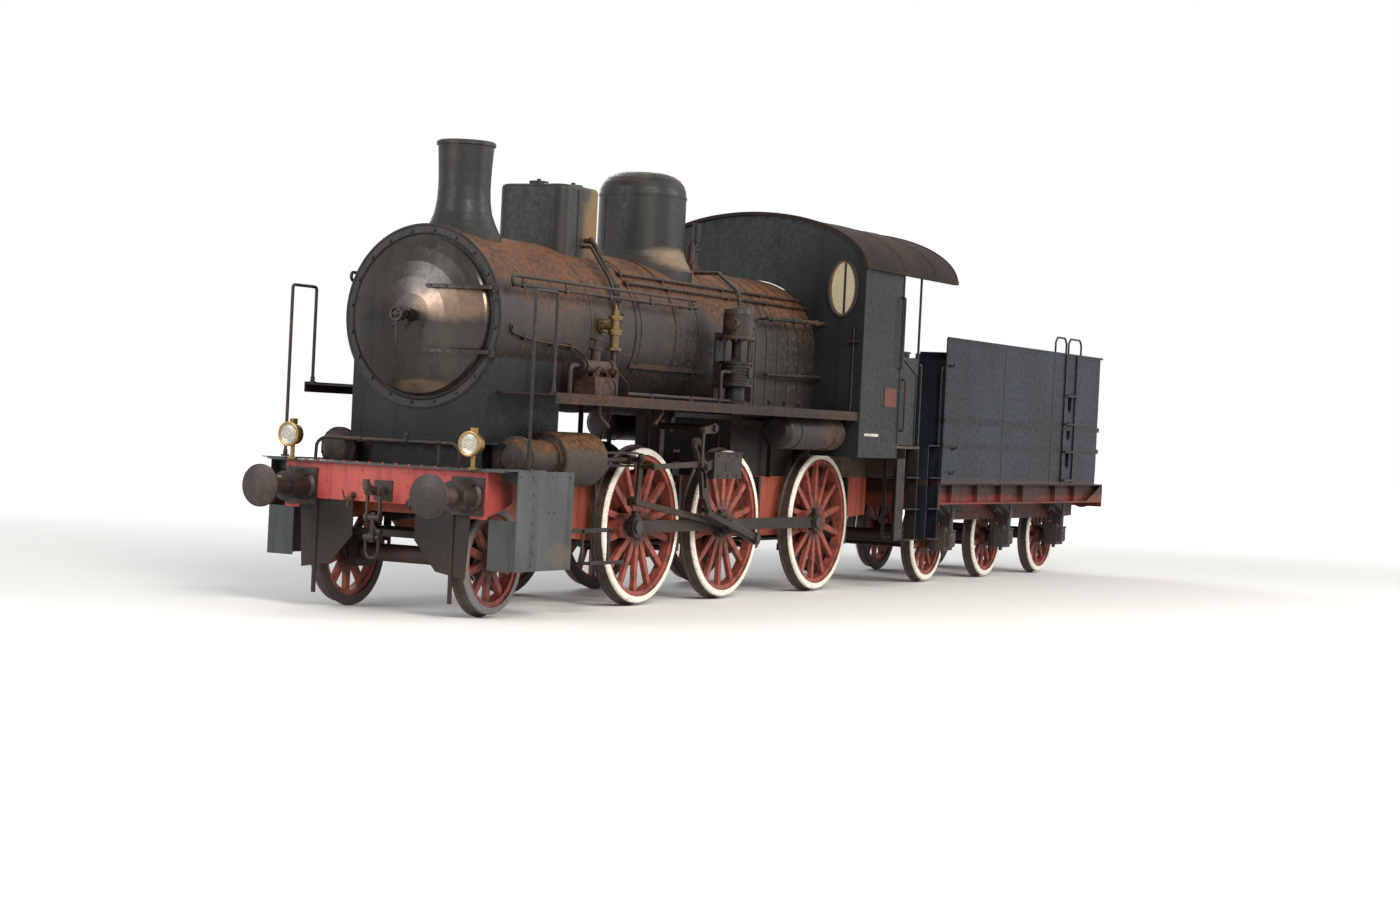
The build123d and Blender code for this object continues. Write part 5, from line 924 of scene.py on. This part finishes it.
def make_cab_details():
    """Window rings, frames and sash bars, bare plates and strips, and the gauges."""
    ring = [(-0.006, -0.014), (0.018, -0.012), (0.024, 0.0), (0.018, 0.014), (-0.006, 0.016)]
    sash = [(-0.004, -0.010), (0.012, -0.010), (0.012, 0.012), (-0.004, 0.012)]
    for name, half_width, half_height, section, finish in (
            ("window_rings", 0.172, 0.312, ring, fitting_black),
            ("window_frames", 0.149, 0.289, sash, frame_wood)):
        form = bmesh.new()
        for s in SIDES:
            add_hoop(form, at(CAB_FRONT, s * WINDOW_Y, WINDOW_Z), half_width, half_height, section, 72)
        finish_piece(name, form, "engine", finish)
    form = bmesh.new()
    for s in SIDES:
        y = s * WINDOW_Y
        add_block(form, at(0.399, y + 0.010, 3.052), at(0.416, y + 0.032, 3.608))
    finish_piece("window_sash_bars", form, "engine", fitting_black, 0.002)

    plate_y = CAB_SIDE + 0.0005
    form = bmesh.new()
    for s in SIDES:
        add_side_plate(form, -0.60, -0.27, 2.06, 2.27, s * plate_y, s * 0.006)
    finish_piece("bare_red_plates", form, "engine", red_plate, 0.003)
    form = bmesh.new()
    for s in SIDES:
        add_side_plate(form, -0.14, 0.24, 1.722, 1.752, s * plate_y, s * 0.005)
    finish_piece("bare_white_strips", form, "engine", label_white, 0.001)

    gauge_y, gauge_z, needle_x = 0.33, 3.180, -0.1185
    form = bmesh.new()
    for s in SIDES:
        add_turned(form, at(-0.110, s * gauge_y, gauge_z), BACK,
                   [(0, 0.06), (0, 0.086), (0.012, 0.086), (0.014, 0.074), (0.006, 0.072)], 28)
        for z in (2.565, 2.895):
            add_collar(form, at(-0.100, s * 0.48, z), UP, 0.030, -0.02, 0.02)
    finish_piece("gauge_bezels", form, "engine", bright_brass)
    form = bmesh.new()
    for s in SIDES:
        add_collar(form, at(-0.1105, s * gauge_y, gauge_z), BACK, 0.074, 0, 0.005, 28)
    finish_piece("gauge_dials", form, "engine", dial_white)
    form = bmesh.new()
    for y, a in ((-gauge_y, -0.6), (gauge_y, 0.9)):
        tip_y, tip_z = y + 0.055 * math.sin(a), gauge_z + 0.055 * math.cos(a)
        add_slab(form, [at(needle_x, y - 0.004, gauge_z), at(needle_x, y + 0.004, gauge_z),
                        at(needle_x, tip_y + 0.001, tip_z), at(needle_x, tip_y - 0.001, tip_z)],
                 (-0.002, 0, 0))
    finish_piece("gauge_needles", form, "engine", fitting_black)


def add_leaf(form, run, side, half_width=0.034, half_thick=0.006):
    """One bent leaf of a spring, as a chain of short blocks through a run of points."""
    for near, far in zip(run, run[1:]):
        corners = [form.verts.new(p + Vector((0, side * w, h))) for p in (near, far)
                   for w in (-half_width, half_width) for h in (-half_thick, half_thick)]
        for loop in ((0, 1, 3, 2), (4, 5, 7, 6), (0, 1, 5, 4), (2, 3, 7, 6), (0, 2, 6, 4), (1, 3, 7, 5)):
            form.faces.new([corners[k] for k in loop])


def make_tender_details():
    """Seam strips and the top bead of the tank, lids and nuts of the axle boxes, and the springs."""
    form = bmesh.new()
    for s in SIDES:
        for z in (1.945, 1.655):
            add_side_plate(form, -1.92, -7.46, z - 0.030, z + 0.030, s * (TANK_SIDE - 0.0005), s * 0.0042)
        for x in (-3.87, -5.63):
            add_side_plate(form, x + 0.055, x - 0.055, 1.215, 2.912, s * (TANK_SIDE - 0.0004), s * 0.0034)
        add_tube(form, [at(-1.93, s * 1.416, 2.915), at(-7.47, s * 1.416, 2.915)], 0.014, 0)
    finish_piece("tank_seams", form, "tender", tender_black)

    form = bmesh.new()
    for s in SIDES:
        side = (0, s, 0)
        for axle in TENDER_AXLES:
            add_block(form, at(axle - 0.080, s * 1.126, 0.435), at(axle + 0.080, s * 1.146, 0.596))
            add_turned(form, at(axle, s * 1.144, 0.515), side,
                       [(0, 0), (0, 0.048), (0.012, 0.044), (0.016, 0.02), (0.016, 0)], 24)
            add_tube(form, [at(axle - 0.09, s * 1.128, 0.604), at(axle - 0.09, s * 1.15, 0.62),
                            at(axle + 0.09, s * 1.15, 0.62), at(axle + 0.09, s * 1.128, 0.604)], 0.009, 0.01)
            for x in (axle - 0.362, axle + 0.362):
                for z in (0.852, 0.998):
                    add_collar(form, at(x, s * 1.045, z), UP, 0.026, -0.016, 0.016)
            for x in (axle - 0.026, axle + 0.026):
                add_collar(form, at(x, s * 1.074, 0.80), side, 0.016, -0.004, 0.010)
    finish_piece("axle_box_lids", form, "tender", spring_iron, 0.002)

    form = bmesh.new()
    half_span, leaf_y = 0.470, 1.098
    for s in SIDES:
        for axle in TENDER_AXLES:
            for n in range(9):
                half, z = half_span - 0.046 * n, 0.930 - 0.015 * n
                run = [at(axle + half * t, s * leaf_y, z + 0.045 * t * t)
                       for t in (-1.0, -0.66, -0.33, 0.0, 0.33, 0.66, 1.0)]
                add_leaf(form, run, s)
            y = s * 1.060
            add_slab(form, [at(axle - 0.058, y, 0.765), at(axle + 0.058, y, 0.765),
                            at(axle + 0.050, y, 0.955), at(axle - 0.050, y, 0.955)], (0, s * 0.082, 0))
            add_rod(form, at(axle, s * 1.100, 0.640), at(axle, s * 1.100, 0.775), 0.038)
            for x in (axle - half_span, axle + half_span):
                add_turned(form, at(x, s * leaf_y, 0.985), (0, s, 0),
                           [(-0.044, 0), (-0.044, 0.034), (0.044, 0.034), (0.052, 0.02), (0.052, 0)], 16)
                for y in (s * (leaf_y - 0.040), s * (leaf_y + 0.040)):
                    add_block(form, at(x - 0.030, y - 0.009, 0.955), at(x + 0.030, y + 0.009, 1.050))
                add_block(form, at(x - 0.055, s * 1.30, 1.030), at(x + 0.055, s * 1.04, 1.062))
    finish_piece("tender_springs", form, "tender", spring_iron, 0.002)


def make_stage():
    """The pale floor, the lamps and the white world round the object."""
    mesh = bpy.data.meshes.new("studio_floor")
    reach = 120.0
    mesh.from_pydata([(-reach, -reach, 0), (reach, -reach, 0), (reach, reach, 0), (-reach, reach, 0)], [],
                     [(0, 1, 2, 3)])
    floor = bpy.data.objects.new("studio_floor", mesh)
    bpy.context.scene.collection.objects.link(floor)
    # Matt floor paint that keeps the object's shadow and turns white further out.
    floor_paint, tree, shader = blank_material("pale_studio_floor")
    shader.inputs["Base Color"].default_value = linear("#e2e0dc")
    shader.inputs["Roughness"].default_value = 0.95
    place = node(tree, "ShaderNodeTexCoord").outputs["Object"]
    away = node(tree, "ShaderNodeVectorMath", {0: place}, operation="LENGTH").outputs["Value"]
    shader.inputs["Emission Color"].default_value = (1.0, 1.0, 1.0, 1.0)
    tree.links.new(ramped(tree, away, 10.0, 34.0), shader.inputs["Emission Strength"])
    mesh.materials.append(floor_paint)

    # The world is white where it is seen, and a softer light where it only lights.
    world = bpy.data.worlds.new("studio_world")
    bpy.context.scene.world = world
    world.use_nodes = True
    tree = world.node_tree
    tree.nodes.clear()
    soft = node(tree, "ShaderNodeBackground", {0: (0.93, 0.96, 1.0, 1.0), 1: 0.55})
    seen = node(tree, "ShaderNodeBackground", {0: (1.0, 1.0, 1.0, 1.0), 1: 1.0})
    rays = node(tree, "ShaderNodeLightPath")
    seen_by = sums(tree, "MAXIMUM", rays.outputs["Is Camera Ray"], rays.outputs["Is Glossy Ray"])
    seen_by = sums(tree, "MAXIMUM", seen_by, rays.outputs["Is Transmission Ray"])
    both = node(tree, "ShaderNodeMixShader", {0: seen_by, 1: soft.outputs[0], 2: seen.outputs[0]})
    node(tree, "ShaderNodeOutputWorld", {0: both.outputs[0]})

    aim = Vector((0.0, 0.0, 1.8))
    for name, place, size, power, tint in (
            ("key_lamp", (17.0, 17.0, 14.0), 9.0, 5200.0, (1.0, 0.95, 0.88)),
            ("side_lamp", (-6.0, 18.0, 11.0), 10.0, 2600.0, (1.0, 0.98, 0.95)),
            ("front_lamp", (24.0, -8.0, 9.0), 8.0, 1900.0, (0.95, 0.97, 1.0)),
            ("far_lamp", (-12.0, -16.0, 12.0), 10.0, 1800.0, (0.95, 0.97, 1.0))):
        lamp = bpy.data.lights.new(name, "AREA")
        lamp.size = size
        lamp.energy = power
        lamp.color = tint
        lit = bpy.data.objects.new(name, lamp)
        bpy.context.scene.collection.objects.link(lit)
        lit.location = place
        lit.rotation_euler = (aim - Vector(place)).to_track_quat("-Z", "Y").to_euler()


def make_camera():
    """The photograph's own viewpoint, worked out from the wheel ellipses and the buffers."""
    spot = at(25.919, 12.791, 1.760)
    yaw, pitch, roll = 3.6238, -0.0136, 0.0488
    focal_length_px, photo_width_px = 2558.1, 1400
    ahead = Vector((math.cos(pitch) * math.cos(yaw), math.cos(pitch) * math.sin(yaw), math.sin(pitch)))
    right = ahead.cross(UP).normalized()
    up = right.cross(ahead)
    turned_right = right * math.cos(roll) + up * math.sin(roll)
    turned_up = -right * math.sin(roll) + up * math.cos(roll)
    lens = bpy.data.cameras.new("photo_camera")
    lens.sensor_width = 36.0
    lens.lens = focal_length_px / photo_width_px * lens.sensor_width
    lens.clip_end = 400.0
    camera = bpy.data.objects.new("photo_camera", lens)
    bpy.context.scene.collection.objects.link(camera)
    turn = Matrix((turned_right, turned_up, -ahead)).transposed().to_4x4()
    camera.matrix_world = Matrix.Translation(spot) @ turn
    bpy.context.scene.camera = camera


make_boiler_and_cab_heads()
make_frame_heads()
make_tender_heads()
make_smokebox_details()
make_boiler_details()
make_front_details()
make_running_gear_details()
make_cab_details()
make_tender_details()
make_stage()
make_camera()
bpy.context.scene.view_settings.view_transform = "Standard"
